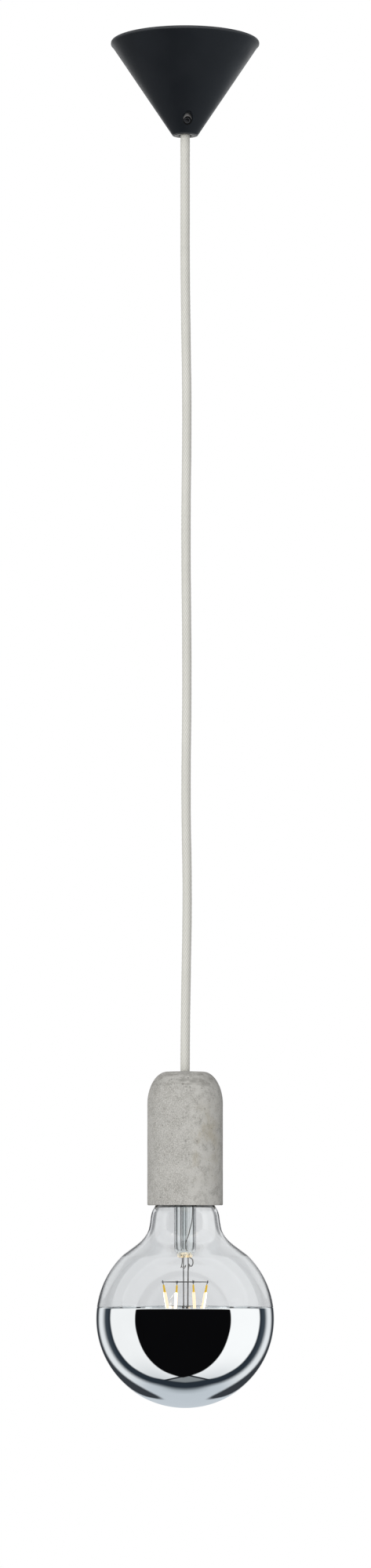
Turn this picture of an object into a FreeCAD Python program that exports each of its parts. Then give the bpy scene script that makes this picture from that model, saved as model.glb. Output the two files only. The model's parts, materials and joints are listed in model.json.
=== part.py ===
import FreeCAD, Part
import math
import os
from FreeCAD import Vector as V

# Pendant ceiling light: cone canopy, textile cord, concrete lampholder shell
# and a mirror-crown globe filament lamp.  Millimetres, +Z up.  The origin is
# on the lamp's axis in the ceiling plane, so everything hangs below z = 0.

# ---------------------------------------------------------------- dimensions
# canopy
CANOPY_RIM_R = 52.0          # outer radius of the rim against the ceiling
CANOPY_LIP_H = 2.2           # height of the rolled lip
CANOPY_H = 65.7              # ceiling to the flat end of the nose
CANOPY_NOSE_R = 8.8          # outer radius of the flat end
CANOPY_WALL = 1.2            # sheet thickness
MOUTH_R = 4.35               # cord hole in the collar

# set screw in the canopy's nose
SCREW_Z = -57.4
SCREW_AZ = math.radians(7.4) # off the front (-Y) towards +X
SCREW_R = 2.5                # M5
SCREW_HOLE_R = 3.25          # access hole in the cone
PAD_IN = 3.5                 # pad face, 0.2 clear of the cord
SCREW_TIP = 5.05
SCREW_HEAD = 11.5

# ceiling bracket
STRAP_T = 2.0
STRAP_W = 16.0
FOOT_X0 = 24.0
FOOT_X1 = 42.0
BRIDGE_Z = -24.0             # underside of the bridge
SLOT_X = 33.0                # slots 66 mm apart
SLOT_R = 2.5
SLOT_L = 10.0

# cord
CORD_R = 3.3
CORD_TOP_END = -17.0         # end of the sheath inside the upper gland
SWING_A = -136.0             # side to side pivot
SWING_B = -155.0             # front to back pivot
CORD_GAP = 0.45              # half of the gap at each pivot
CORD_ROUTE = [(0.0, -155.0), (0.5, -200.0), (1.45, -262.0), (0.35, -345.0),
              (1.5, -445.0), (0.35, -530.0), (1.75, -597.0), (0.6, -660.0),
              (0.0, -703.0), (0.0, -743.0)]
CORD_TAIL = -752.0           # cord's end inside the lampholder

# concrete shell
SHELL_TOP = -722.0
SHELL_BOTTOM = -815.0
SHELL_R = 26.5
SHELL_FLAT_R = 12.5
SHELL_SHOULDER = 23.0        # height of the elliptical shoulder
SHELL_BORE_R = 22.3
SHELL_ROOF = -734.0          # ceiling of the cavity
CORD_HOLE_R = 4.6

# lampholder
HOLDER_R = 19.5
HOLDER_SPLIT = -768.0
HOLDER_BOTTOM = -806.5
NIPPLE_R = 5.0               # M10 x 1
NIPPLE_BORE = 3.5

# screw thread of the lamp cap (E27)
PITCH = 3.629
CAP_ROOT_R = 12.1
CAP_CREST_R = 13.0
SOCKET_ROOT_R = 13.4
SOCKET_CREST_R = 12.45

# lamp
LAMP_TIP = -779.7            # centre contact
GLOBE_Z = -895.2
GLOBE_R = 62.5
GLASS_T = 0.9
MIRROR_EDGE = 8.3            # mirror edge above the globe's centre
MIRROR_T = 0.25
STEM_R = 7.65
RING_Z = -869.4
RING_R = 16.5
STAR_Z = -907.0
STAR_R = 12.0
FILAMENT_ANGLES = [-20.0, 70.0, 160.0, 250.0]
FILAMENT_TWIST = -20.0       # the lower ends are turned this far round the axis
FILAMENT_R = 0.8

X, Y, Z = V(1, 0, 0), V(0, 1, 0), V(0, 0, 1)
nodes = {}


# ------------------------------------------------------------------- helpers
def edges_from(items):
    """Profile in the XZ half plane. A point starts a line; ("arc", mid, end)
    is a circular arc and ("spline", [points], t0, t1) a smooth curve."""
    out = []
    cur = items[0]
    for it in items[1:]:
        if it[0] == "arc":
            mid, end = it[1], it[2]
            out.append(Part.Arc(V(cur[0], 0, cur[1]), V(mid[0], 0, mid[1]),
                                V(end[0], 0, end[1])).toShape())
            cur = end
        elif it[0] == "spline":
            pts = [V(cur[0], 0, cur[1])] + [V(p[0], 0, p[1]) for p in it[1]]
            c = Part.BSplineCurve()
            if it[2] is None:
                c.interpolate(pts)
            else:
                c.interpolate(Points=pts,
                              InitialTangent=V(it[2][0], 0, it[2][1]),
                              FinalTangent=V(it[3][0], 0, it[3][1]))
            out.append(c.toShape())
            cur = it[1][-1]
        else:
            if abs(it[0] - cur[0]) + abs(it[1] - cur[1]) < 1e-9:
                continue
            out.append(Part.LineSegment(V(cur[0], 0, cur[1]),
                                        V(it[0], 0, it[1])).toShape())
            cur = it
    s = items[0]
    if abs(s[0] - cur[0]) + abs(s[1] - cur[1]) > 1e-9:
        out.append(Part.LineSegment(V(cur[0], 0, cur[1]),
                                    V(s[0], 0, s[1])).toShape())
    return out


def rev(items):
    wire = Part.Wire(edges_from(items))
    return Part.Face(wire).revolve(V(0, 0, 0), Z, 360)


def cyl(r, z0, z1, x=0.0, y=0.0):
    lo, hi = min(z0, z1), max(z0, z1)
    return Part.makeCylinder(r, hi - lo, V(x, y, lo))


def ring(ro, ri, z0, z1):
    return cyl(ro, z0, z1).cut(cyl(ri, min(z0, z1) - 1, max(z0, z1) + 1))


def rod(p, q, r):
    p, q = V(*p), V(*q)
    d = q - p
    return Part.makeCylinder(r, d.Length, p, d)


def box(x0, x1, y0, y1, z0, z1):
    return Part.makeBox(x1 - x0, y1 - y0, z1 - z0, V(x0, y0, z0))


def hexagon(af, z0, z1, turn=30.0, x=0.0, y=0.0):
    r = af / 2.0 / math.cos(math.radians(30))
    pts = [V(x + r * math.cos(math.radians(60 * i + turn)),
             y + r * math.sin(math.radians(60 * i + turn)), min(z0, z1))
           for i in range(7)]
    return Part.Face(Part.makePolygon(pts)).extrude(V(0, 0, abs(z1 - z0)))


def route(points, r, name, quiet=False):
    """Tube along straight runs joined by tangent arcs."""
    p = [V(*q) for q in points]
    n = len(p)
    runs = [(p[i + 1] - p[i]).Length for i in range(n - 1)]
    cut = [0.0] * n
    radii = []
    mids = [None] * n
    for i in range(1, n - 1):
        a = (p[i] - p[i - 1]).normalize()
        b = (p[i + 1] - p[i]).normalize()
        turn = a.getAngle(b)
        t = 0.45 * min(runs[i - 1], runs[i])
        rad = t / math.tan(turn / 2.0)
        radii.append(round(rad, 1))
        cut[i] = t
        inward = (b - a).normalize()
        corner = p[i]
        centre = corner + inward * math.hypot(rad, t)
        mids[i] = centre - inward * rad
    edges = []
    total = 0.0
    here = p[0]
    for i in range(1, n):
        d = (p[i] - p[i - 1]).normalize()
        end = p[i] - d * cut[i]
        edges.append(Part.LineSegment(here, end).toShape())
        total += (end - here).Length
        if i < n - 1:
            e = (p[i + 1] - p[i]).normalize()
            out = p[i] + e * cut[i]
            arc = Part.Arc(end, mids[i], out).toShape()
            edges.append(arc)
            total += arc.Length
            here = out
    wire = Part.Wire(edges)
    d0 = (p[1] - p[0]).normalize()
    circle = Part.Wire([Part.Circle(p[0], d0, r).toShape()])
    tube = wire.makePipeShell([circle], True, False)
    if not tube.isValid() or tube.Volume <= 0:
        tube.fix(1e-6, 1e-6, 1e-6)
    want = math.pi * r * r * total
    if not quiet:
        print("%s: length %.1f mm, radii %s, volume %.1f of %.1f" %
              (name, total, radii, tube.Volume, want))
    return tube


def helix_ridge(root, crest, z_start, turns, phase, width=1.4, tip=0.6):
    """Trapezoid ridge wound right-handed upwards from z_start."""
    height = PITCH * turns
    path = Part.makeHelix(PITCH, height, abs(root))
    w, t = width / 2.0, tip / 2.0
    sec = Part.makePolygon([V(root, 0, -w), V(crest, 0, -t), V(crest, 0, t),
                            V(root, 0, w), V(root, 0, -w)])
    solid = Part.Wire(path).makePipeShell([sec], True, True)
    solid.rotate(V(0, 0, 0), Z, phase)
    solid.translate(V(0, 0, z_start))
    return solid


def along(direction, r, a, b, z):
    """Cylinder along a horizontal direction between radial distances."""
    base = V(direction.x * a, direction.y * a, z)
    return Part.makeCylinder(r, b - a, base, direction)


def add(name, shape):
    if shape.ShapeType == "Compound":
        solids = shape.Solids
        shape = solids[0] if len(solids) == 1 else Part.makeCompound(solids)
    nodes[name] = shape


# ================================================================== ceiling
# Hat-shaped steel strap: two slotted feet on the ceiling, a bridge below.
def strap():
    t, w = STRAP_T, STRAP_W
    lo = BRIDGE_Z
    x0, x1 = FOOT_X0, FOOT_X1
    pts = [(-x1, 0), (-x0 + t, 0), (-x0 + t, lo + t), (x0 - t, lo + t),
           (x0 - t, 0), (x1, 0), (x1, -t), (x0, -t), (x0, lo), (-x0, lo),
           (-x0, -t), (-x1, -t)]
    poly = Part.makePolygon([V(a, -w / 2, b) for a, b in pts + pts[:1]])
    s = Part.Face(poly).extrude(V(0, w, 0))
    corners = []
    for e in s.Edges:
        a, b = e.Vertexes[0].Point, e.Vertexes[-1].Point
        if abs(a.x - b.x) < 1e-6 and abs(a.z - b.z) < 1e-6:
            if abs(abs(a.x) - x1) > 1e-6:
                outer = (abs(abs(a.x) - x0) < 1e-6) == (a.z < -10)
                corners.append((e, 2.6 if outer else 0.6))
    for rad in (2.6, 0.6):
        es = [e for e, r in corners if abs(r - rad) < 1e-6]
        if rad == 2.6:
            s = s.makeFillet(rad, es)
        else:
            keep = []
            for e in s.Edges:
                a, b = e.Vertexes[0].Point, e.Vertexes[-1].Point
                for f in es:
                    c, d = f.Vertexes[0].Point, f.Vertexes[-1].Point
                    if ((a - c).Length < 1e-4 and (b - d).Length < 1e-4) or \
                       ((a - d).Length < 1e-4 and (b - c).Length < 1e-4):
                        keep.append(e)
            if keep:
                s = s.makeFillet(rad, keep)
    ends = [e for e in s.Edges
            if abs(e.Length - t) < 1e-4 and abs(abs(e.CenterOfMass.x) - x1) < 1e-4]
    if ends:
        s = s.makeFillet(4.0, ends)
    for sx in (-1, 1):
        c = SLOT_X * sx
        h = SLOT_L / 2 - SLOT_R
        slot = box(c - h, c + h, -SLOT_R, SLOT_R, -t - 1, 1)
        slot = slot.fuse(cyl(SLOT_R, -t - 1, 1, c - h)).fuse(
            cyl(SLOT_R, -t - 1, 1, c + h)).removeSplitter()
        s = s.cut(slot)
    s = s.cut(cyl(NIPPLE_R + 0.1, lo - 1, lo + t + 1))
    s = s.cut(cyl(1.5, lo - 1, lo + t + 1, 14.5, 0))
    return s


add("ceiling_bracket", strap())

# Cord gland through the bridge: body, lock nut, rubber seal, dome nut.
g = cyl(NIPPLE_R, -16.0, BRIDGE_Z).fuse(hexagon(15.0, BRIDGE_Z - 3.5, BRIDGE_Z))
g = g.fuse(cyl(6.0, -33.0, BRIDGE_Z - 3.5)).removeSplitter()
g = g.cut(cyl(3.4, -40, -10)).cut(cyl(5.3, -34, -30.0))
add("gland_body", g)
add("gland_locknut", hexagon(14.0, BRIDGE_Z + 2.0, BRIDGE_Z + 5.6).common(
    rev([(0, BRIDGE_Z + 2.0), (7.3, BRIDGE_Z + 2.0), (8.2, BRIDGE_Z + 2.8),
         (8.2, BRIDGE_Z + 4.8), (7.3, BRIDGE_Z + 5.6), (0, BRIDGE_Z + 5.6)])
).cut(cyl(NIPPLE_R + 0.03, -30, -10)))
add("gland_seal", rev([(3.4, -30.1), (5.2, -30.1), (5.2, -33.2), (4.6, -34.3),
                       (3.4, -34.3)]))
nut = rev([(6.06, -28.0), (8.3, -28.0), (8.3, -33.0),
           ("arc", (7.6, -36.4), (5.0, -38.6)), (3.5, -38.6), (3.5, -36.6),
           (4.7, -34.5), (6.06, -34.5)])
for i in range(12):                      # finger flutes
    a = math.radians(30 * i)
    nut = nut.cut(cyl(0.7, -39, -27, 8.75 * math.cos(a), 8.75 * math.sin(a)))
add("gland_nut", nut)

# Terminal block on the bridge, brass inserts, clamping and fixing screws.
TB_Z, TB_Y = -9.5, 5.7
tb = box(8.6, 20.4, -10.0, 10.0, BRIDGE_Z + 2.0, -4.6)
es = [e for e in tb.Edges if abs(e.Length - 17.4) < 1e-3 or
      (abs(e.CenterOfMass.z + 4.6) < 1e-6)]
tb = tb.makeFillet(1.0, es)
for s in (-1, 1):
    tb = tb.cut(Part.makeCylinder(2.55, 13.8, V(7.6, s * TB_Y, TB_Z), X))
    for x in (11.6, 17.4):
        tb = tb.cut(cyl(1.9, TB_Z, -3.0, x, s * TB_Y))
tb = tb.cut(cyl(1.6, -24, -3, 14.5, 0)).cut(cyl(2.95, -10.65, -3, 14.5, 0))
add("terminal_block", tb)
ins, scr = [], []
for s in (-1, 1):
    b = Part.makeCylinder(2.5, 11.0, V(9.0, s * TB_Y, TB_Z), X)
    b = b.cut(Part.makeCylinder(1.5, 13.0, V(8.0, s * TB_Y, TB_Z), X))
    for x in (11.6, 17.4):
        b = b.cut(cyl(1.28, TB_Z, TB_Z + 4, x, s * TB_Y))
        k = cyl(1.25, TB_Z + 0.85, TB_Z + 3.4, x, s * TB_Y).fuse(
            cyl(1.7, TB_Z + 3.1, TB_Z + 4.1, x, s * TB_Y)).removeSplitter()
        k = k.cut(box(x - 2, x + 2, s * TB_Y - 0.25, s * TB_Y + 0.25,
                      TB_Z + 3.4, TB_Z + 5))
        scr.append(k)
    ins.append(b)
add("terminal_inserts", Part.makeCompound(ins))
add("terminal_screws", Part.makeCompound(scr))
fix = cyl(1.45, -26.5, -10.4, 14.5, 0).fuse(
    rev([(0, -10.6), (2.8, -10.6), (2.8, -9.4), (2.1, -8.5), (0, -8.3)]
        ).translate(V(14.5, 0, 0))).removeSplitter()
fix = fix.cut(box(11, 18, -0.3, 0.3, -8.9, -7.5))
add("block_screw", fix)

# The cord's two conductors inside the canopy.
for name, s in (("upper_conductor_live", -1), ("upper_conductor_neutral", 1)):
    w = route([(0, s * 1.5, CORD_TOP_END + 0.05), (0, s * 1.7, TB_Z + 0.6),
               (4.6, s * 4.9, TB_Z), (9.0, s * TB_Y, TB_Z)], 0.95, name)
    w = w.fuse(Part.makeCylinder(0.65, 5.6, V(8.9, s * TB_Y, TB_Z), X))
    add(name, w.removeSplitter())

# Cord, first stretch: gland, through the canopy's nose, to the first pivot.
add("cord_upper", cyl(CORD_R, SWING_A + CORD_GAP, CORD_TOP_END))
print("cord_upper: length %.1f mm" % (CORD_TOP_END - SWING_A - CORD_GAP))

# =================================================================== canopy
slope = (CANOPY_RIM_R - 0.6 - CANOPY_NOSE_R) / (CANOPY_H - CANOPY_LIP_H)
wall_x = CANOPY_WALL / math.cos(math.atan(slope))


def cone_r(z):
    return CANOPY_NOSE_R + slope * (CANOPY_H + z)


cone = rev([
    (CANOPY_RIM_R - 1.4, -0.2), ("arc", (CANOPY_RIM_R - 1.1, -0.06), (CANOPY_RIM_R - 0.8, 0.0)),
    ("arc", (CANOPY_RIM_R - 0.23, -0.23), (CANOPY_RIM_R, -0.8)),
    (CANOPY_RIM_R, -1.5), ("arc", (CANOPY_RIM_R - 0.15, -1.95), (CANOPY_RIM_R - 0.6, -CANOPY_LIP_H)),
    (CANOPY_NOSE_R + 0.4, cone_r(0) * 0 - CANOPY_H + 0.4 / slope),
    ("arc", (CANOPY_NOSE_R + 0.02, -CANOPY_H + 0.14), (CANOPY_NOSE_R - 0.35, -CANOPY_H)),
    (8.0, -CANOPY_H), (8.0, -CANOPY_H + 1.6),
    (cone_r(-CANOPY_H + 1.6) - wall_x, -CANOPY_H + 1.6),
    (cone_r(-CANOPY_LIP_H - 0.6) - wall_x, -CANOPY_LIP_H - 0.6),
    (CANOPY_RIM_R - 1.5, -CANOPY_LIP_H + 0.2)])
sd = V(math.sin(SCREW_AZ), -math.cos(SCREW_AZ), 0)
cone = cone.cut(along(sd, SCREW_HOLE_R, 9.0, 30.0, SCREW_Z))
add("canopy_cone", cone)

# Zinc collar in the nose: guides the cord and carries the set screw.
cr = lambda z: cone_r(z) - wall_x - 0.12
collar = rev([
    (MOUTH_R + 0.5, -CANOPY_H - 0.25), (7.5, -CANOPY_H - 0.25), (7.9, -CANOPY_H + 0.1),
    (7.9, -CANOPY_H + 1.75), (cr(-CANOPY_H + 1.75), -CANOPY_H + 1.75),
    (13.4, -CANOPY_H + 1.75 + (13.4 - cr(-CANOPY_H + 1.75)) / slope),
    (13.4, -50.5), (12.6, -49.7), (MOUTH_R + 0.8, -49.7), (MOUTH_R, -50.5),
    (MOUTH_R, -CANOPY_H + 0.25)])
collar = collar.cut(along(sd, SCREW_R + 0.05, 0.0, 20.0, SCREW_Z))
add("canopy_collar", collar)

# Set screw with hexagon socket, and the nylon pad at its tip.
pad = along(sd, 2.1, PAD_IN, 4.95, SCREW_Z)
add("screw_pad", pad)
sc = along(sd, SCREW_R, SCREW_TIP, SCREW_HEAD, SCREW_Z)
edge = [e for e in sc.Edges if e.Curve.TypeId == "Part::GeomCircle"]
sc = sc.makeChamfer(0.35, edge)
hx = hexagon(2.6, 0, 3.2, 0)
hx.rotate(V(0, 0, 0), Y, 90)
hx.rotate(V(0, 0, 0), Z, math.degrees(math.atan2(sd.y, sd.x)))
hx.translate(V(sd.x * (SCREW_HEAD - 3.0), sd.y * (SCREW_HEAD - 3.0), SCREW_Z))
add("set_screw", sc.cut(hx))

# ===================================================================== cord
add("cord_link", cyl(CORD_R, SWING_B + CORD_GAP, SWING_A - CORD_GAP))
pts = [(x, 0.0, z) for x, z in CORD_ROUTE]
pts[0] = (pts[0][0], 0.0, SWING_B - CORD_GAP)
low = route(pts, CORD_R, "cord_lower")
tail = cyl(CORD_R, CORD_TAIL, CORD_ROUTE[-1][1])
add("cord_lower", low.fuse(tail).removeSplitter())

# ============================================================ concrete shell
a, b = SHELL_R - SHELL_FLAT_R, SHELL_SHOULDER
cx, cz = SHELL_FLAT_R, SHELL_TOP - SHELL_SHOULDER


def ell(deg, ax, bz, ox, oz):
    t = math.radians(deg)
    return (ox + ax * math.sin(t), oz + bz * math.cos(t))


outer = [ell(d, a, b, cx, cz) for d in range(10, 100, 10)]
inner = [ell(d, SHELL_BORE_R - 12.0, 18.0, 12.0, SHELL_ROOF - 18.0)
         for d in range(80, -10, -10)]
shell = rev([
    (CORD_HOLE_R + 0.5, SHELL_TOP), (SHELL_FLAT_R, SHELL_TOP),
    ("spline", outer, (1, 0), (0, -1)),
    (SHELL_R, SHELL_BOTTOM + 0.7), ("arc", (SHELL_R - 0.2, SHELL_BOTTOM + 0.2), (SHELL_R - 0.7, SHELL_BOTTOM)),
    (SHELL_BORE_R + 0.5, SHELL_BOTTOM), (SHELL_BORE_R, SHELL_BOTTOM + 0.5),
    (SHELL_BORE_R, SHELL_ROOF - 18.0),
    ("spline", inner, (0, 1), (-1, 0)),
    (8.0, SHELL_ROOF), (8.0, SHELL_ROOF + 8.0), (CORD_HOLE_R, SHELL_ROOF + 8.0),
    (CORD_HOLE_R, SHELL_TOP - 0.5)])
add("concrete_shell", shell)

# Threaded insert cast into the shell's roof, and the hollow nipple.
insr = ring(8.0, NIPPLE_R + 0.04, SHELL_ROOF, SHELL_ROOF + 8.0)
add("shell_insert", insr)
nip = cyl(NIPPLE_R, -742.4, SHELL_ROOF + 7.8).fuse(hexagon(13.0, -750.0, -742.4))
nip = nip.removeSplitter().cut(cyl(NIPPLE_BORE, -760, -720))
nip = nip.cut(Part.makeCylinder(1.52, 10, V(0, 0, -746.2), V(0, -1, 0)))
add("cord_nipple", nip)
gs = Part.makeCylinder(1.48, 4.2, V(0, -3.4, -746.2), V(0, -1, 0))
gs = gs.cut(box(-2, 2, -8.0, -7.0, -746.45, -745.95))
add("nipple_screw", gs)

# ============================================================== lampholder
hd = [ell(d, 10.0, 15.2, 9.5, -750.0) for d in range(10, 100, 10)]
hdi = [ell(d, 8.3, 12.6, 9.2, -750.6) for d in range(80, -10, -10)]
dome = rev([
    (NIPPLE_R + 0.04, -734.3), (9.5, -734.8), ("spline", hd, (1, 0), (0, -1)),
    (HOLDER_R, HOLDER_SPLIT), (17.5, HOLDER_SPLIT), (17.5, -750.6),
    ("spline", hdi, (0, 1), (-1, 0)), (9.0, -738.0), (9.0, -742.2),
    (NIPPLE_R + 0.04, -742.2)])
add("lampholder_cap", dome)
barrel = rev([
    (15.7, -759.5), (17.3, -759.5), (17.3, HOLDER_SPLIT - 0.05),
    (HOLDER_R, HOLDER_SPLIT - 0.05), (HOLDER_R, HOLDER_BOTTOM + 1.0),
    ("arc", (HOLDER_R - 0.3, HOLDER_BOTTOM + 0.3), (HOLDER_R - 1.0, HOLDER_BOTTOM)),
    (15.0, HOLDER_BOTTOM), (14.4, HOLDER_BOTTOM + 0.6), (14.4, -779.2),
    (15.7, -779.2)])
for i in range(24):                      # grip flutes
    t = math.radians(15 * i)
    barrel = barrel.cut(cyl(0.8, -801, -771.5, 19.9 * math.cos(t), 19.9 * math.sin(t)))
add("lampholder_barrel", barrel)

# Ceramic core with two terminals, their screws and both contacts.
core = cyl(15.6, -778.8, -765.0)
core = core.cut(cyl(10.2, -779.8, -777.9))
for s in (-1, 1):
    core = core.cut(box(s * 8.5 - 3.2, s * 8.5 + 3.2, -3.2, 3.2, -771.4, -764))
core = core.cut(box(11.3, 12.05, -2.7, 2.7, -779.5, -764.0))
core = core.cut(box(-9.3, -5.7, -1.8, 1.8, -780, -771.0))
add("lampholder_core", core)
terms, tscr = [], []
for s in (-1, 1):
    t = box(s * 8.5 - 2.9, s * 8.5 + 2.9, -2.9, 2.9, -771.2, -766.0)
    t = t.cut(cyl(1.2, -770.5, -760, s * 8.5 - s * 1.2, 0))
    t = t.cut(Part.makeCylinder(1.25, 4, V(s * 8.5 + s * 1.2, 0.0, -768.6), V(0, -1, 0)))
    terms.append(t)
    k = Part.makeCylinder(1.2, 2.7, V(s * 8.5 + s * 1.2, -0.3, -768.6), V(0, -1, 0))
    tscr.append(k)
add("holder_terminals", Part.makeCompound(terms))
add("holder_terminal_screws", Part.makeCompound(tscr))
add("side_contact", box(11.45, 11.95, -2.5, 2.5, -779.97, -767.0))
cc = Part.Face(Part.makePolygon([V(p[0], -1.5, p[1]) for p in [
    (-9.0, -771.3), (-9.0, -778.2), (-8.6, -778.6), (-3.5, -778.6),
    (-1.6, -779.35), (1.6, -779.35), (3.2, -778.5), (3.0, -778.2),
    (1.4, -778.95), (-1.5, -778.95), (-3.4, -778.2), (-8.2, -778.2),
    (-8.6, -777.8), (-8.6, -771.3), (-9.0, -771.3)]])).extrude(V(0, 3.0, 0))
add("centre_contact", cc)

# Threaded socket: rolled brass with an inward helical ridge.
SOCK_TOP, SOCK_BOT = -780.0, -802.2
sock = rev([
    (10.4, SOCK_TOP), (13.5, SOCK_TOP), (13.9, SOCK_TOP - 0.4), (13.9, SOCK_BOT + 0.0),
    (13.4, SOCK_BOT), (13.4, SOCK_TOP - 0.5), (10.4, SOCK_TOP - 0.5)])
ridge_in = helix_ridge(13.55, SOCKET_CREST_R, -799.6, 4.0, 0.0)
sock = sock.fuse(ridge_in)
add("threaded_socket", sock)

for name, s in (("lower_conductor_live", -1), ("lower_conductor_neutral", 1)):
    w = route([(s * 1.5, 0, CORD_TAIL + 0.05 - 0.1), (s * 1.9, 0, -757.0),
               (s * 6.7, 0, -760.6), (s * 7.3, 0, -766.1)], 0.95, name)
    w = w.fuse(cyl(0.65, -769.9, -765.9, s * 7.3, 0))
    add(name, w.removeSplitter())

# ===================================================================== lamp
tip = rev([(0, LAMP_TIP), ("spline", [(2.6, LAMP_TIP - 0.25), (4.6, LAMP_TIP - 0.9)],
                          (1, 0), (1, -0.6)),
           (4.75, LAMP_TIP - 1.45), (0, LAMP_TIP - 1.45)])
add("lamp_centre_contact", tip)
add("cap_insulator", rev([(0, -781.25), (5.2, -781.25), ("arc", (8.8, -782.7), (11.3, -785.35)),
                          (11.6, -785.35), (11.6, -787.6), (0, -787.6)]))
cap = rev([(11.7, -785.4), (12.1, -785.4), (CAP_ROOT_R, -803.2), (13.3, -804.6),
           (13.3, -806.7), (12.95, -806.7), (12.95, -804.8), (11.7, -803.4)])
ridge_out = helix_ridge(11.9, CAP_CREST_R, -799.6 + PITCH / 2.0 - PITCH * 1.0, 3.6, 0.0)
cap = cap.fuse(ridge_out)
add("lamp_cap", cap)

neck = [(11.35, 91.5), (12.1, 89.8), (13.0, 88.4), (14.7, 86.0), (17.0, 83.2),
        (19.3, 80.9), (20.9, 79.2), (22.2, 77.1), (23.15, 75.3), (23.75, 73.2),
        (24.15, 71.0), (24.5, 68.0), (25.0, 65.2), (25.55, 62.6), (26.45, 60.4),
        (28.3, 57.3), (31.2, 54.1), (34.4, 51.5), (38.2, 48.7), (41.3, 46.4)]
ja = math.radians(45.0)
join = (GLOBE_R * math.cos(ja), GLOBE_R * math.sin(ja))


def offset_profile(points, t0, t1, d):
    """Points a distance d inside a smooth curve through the points."""
    c = Part.BSplineCurve()
    c.interpolate(Points=[V(p[0], 0, p[1]) for p in points],
                  InitialTangent=V(t0[0], 0, t0[1]), FinalTangent=V(t1[0], 0, t1[1]))
    res = []
    u0, u1 = c.FirstParameter, c.LastParameter
    for i in range(41):
        u = u0 + (u1 - u0) * i / 40.0
        q = c.value(u)
        g = c.tangent(u)[0]
        res.append((q.x + g.z * d, q.z - g.x * d))
    return res


full = [(11.3, 98.0), (11.3, 93.5)] + neck + [join]
tan0 = (0.0, -1.0)
tan1 = (math.sin(ja), -math.cos(ja))
ins_pts = offset_profile(full, tan0, tan1, GLASS_T)
R0, R1, Ri = GLOBE_R, GLOBE_R - MIRROR_T - 0.05, GLOBE_R - GLASS_T
ea = math.asin(MIRROR_EDGE / GLOBE_R)


def sph(r, ang):
    return (r * math.cos(ang), r * math.sin(ang))


def up(p):
    return (p[0], p[1] + GLOBE_Z)


glass_outer = [("spline", [up(p) for p in full[1:]], tan0, tan1),
               ("arc", up(sph(R0, (ja + ea) / 2)), up((math.sqrt(R0 ** 2 - MIRROR_EDGE ** 2), MIRROR_EDGE))),
               up((math.sqrt(R1 ** 2 - MIRROR_EDGE ** 2), MIRROR_EDGE)),
               ("arc", up(sph(R1, -0.7)), up((0, -R1))),
               up((0, -Ri))]
ie = ins_pts[-1]
ang_i = math.atan2(ie[1], ie[0])
glass = rev([up(full[0])] + glass_outer + [
    ("arc", up(sph(Ri, (-math.pi / 2 + ang_i) / 2)), up(ie)),
    ("spline", [up(p) for p in ins_pts[::-1][1:]], (-tan1[0], -tan1[1]), (0.0, 1.0))])
add("glass_globe", glass)
Rm = GLOBE_R - MIRROR_T
me = MIRROR_EDGE - 0.03
add("crown_mirror", rev([
    up((math.sqrt(R0 ** 2 - me ** 2), me)), ("arc", up(sph(R0, -0.7)), up((0, -R0))),
    up((0, -Rm)), ("arc", up(sph(Rm, -0.7)), up((math.sqrt(Rm ** 2 - me ** 2), me)))]))

# Glass stem sealed into the neck, its exhaust tube and press.
st = STEM_R
stem = rev([
    (10.25, -799.5), (10.3, -801.5), ("arc", (8.6, -805.2), (st, -810.0)), (st, -845.0),
    ("spline", [(6.6, -848.3), (3.9, -850.4), (0, -851.0)], (0, -1), (-1, 0)), (0, -848.2),
    ("spline", [(3.4, -847.7), (5.9, -845.9), (st - 0.8, -843.6)], (1, 0), (0, 1)),
    (st - 0.8, -810.2), ("arc", (7.8, -805.4), (9.4, -801.8)), (9.4, -799.5)])
add("glass_stem", stem)
add("exhaust_tube", Part.makeCylinder(2.0, 43.0, V(-0.5, 0, -846.5)).cut(
    Part.makeCylinder(1.25, 45.0, V(-0.5, 0, -847.5))))
LR = 0.38
add("lead_wire_left", route([(-3.1, 0.8, -801.0), (-2.98, 0.9, -815.0), (-3.05, 0.8, -830.0),
                             (-3.0, 0.75, -841.5), (-2.65, 0.6, -847.3)], LR, "lead_wire_left"))
add("lead_wire_right", route([(5.1, -0.8, -801.0), (5.2, -1.0, -812.0), (5.0, -1.3, -823.5),
                              (3.3, -2.5, -832.0), (0.3, -3.0, -841.2), (1.4, -1.6, -847.2)],
                             LR, "lead_wire_right"))
RODX = (-1.15, 2.1)
rods = [rod((x, 0, -851.05), (x * 0.8, 0, STAR_Z), 0.45) for x in RODX]
add("support_rods", Part.makeCompound(rods))


def torus(R, r, z):
    return Part.makeTorus(R, r, V(0, 0, z))


ft = []
top_pts, low_pts = [], []
for d in FILAMENT_ANGLES:
    t = math.radians(d)
    u = V(math.sin(t), -math.cos(t), 0)
    top_pts.append(V(u.x * RING_R, u.y * RING_R, RING_Z))
    t += math.radians(FILAMENT_TWIST)
    low_pts.append(V(math.sin(t) * STAR_R, -math.cos(t) * STAR_R, STAR_Z))
ringw = torus(RING_R, 0.4, RING_Z)
ringw = ringw.fuse(rod((-RING_R, 0, RING_Z), (-1.5, 0, RING_Z), 0.32))
add("upper_ring", ringw.removeSplitter())
lowr = torus(STAR_R, 0.4, STAR_Z).fuse(
    rod((STAR_R, 0, STAR_Z), (2.2, 0, STAR_Z), 0.32))
add("lower_ring", lowr.removeSplitter())
fil, tabs = [], []
for p, q in zip(top_pts, low_pts):
    d = (q - p).normalize()
    a0, a1 = p + d * 1.0, q - d * 1.0
    f0, f1 = p + d * 2.2, q - d * 2.2
    fil.append(Part.makeCylinder(FILAMENT_R, (f1 - f0).Length, f0, d))
    tabs.append(Part.makeCylinder(0.28, (f0 - p).Length - 0.46, p + d * 0.45, d))
    tabs.append(Part.makeCylinder(0.28, (q - f1).Length - 0.46, f1 + d * 0.01, d))
add("led_filaments", Part.makeCompound(fil))
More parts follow.
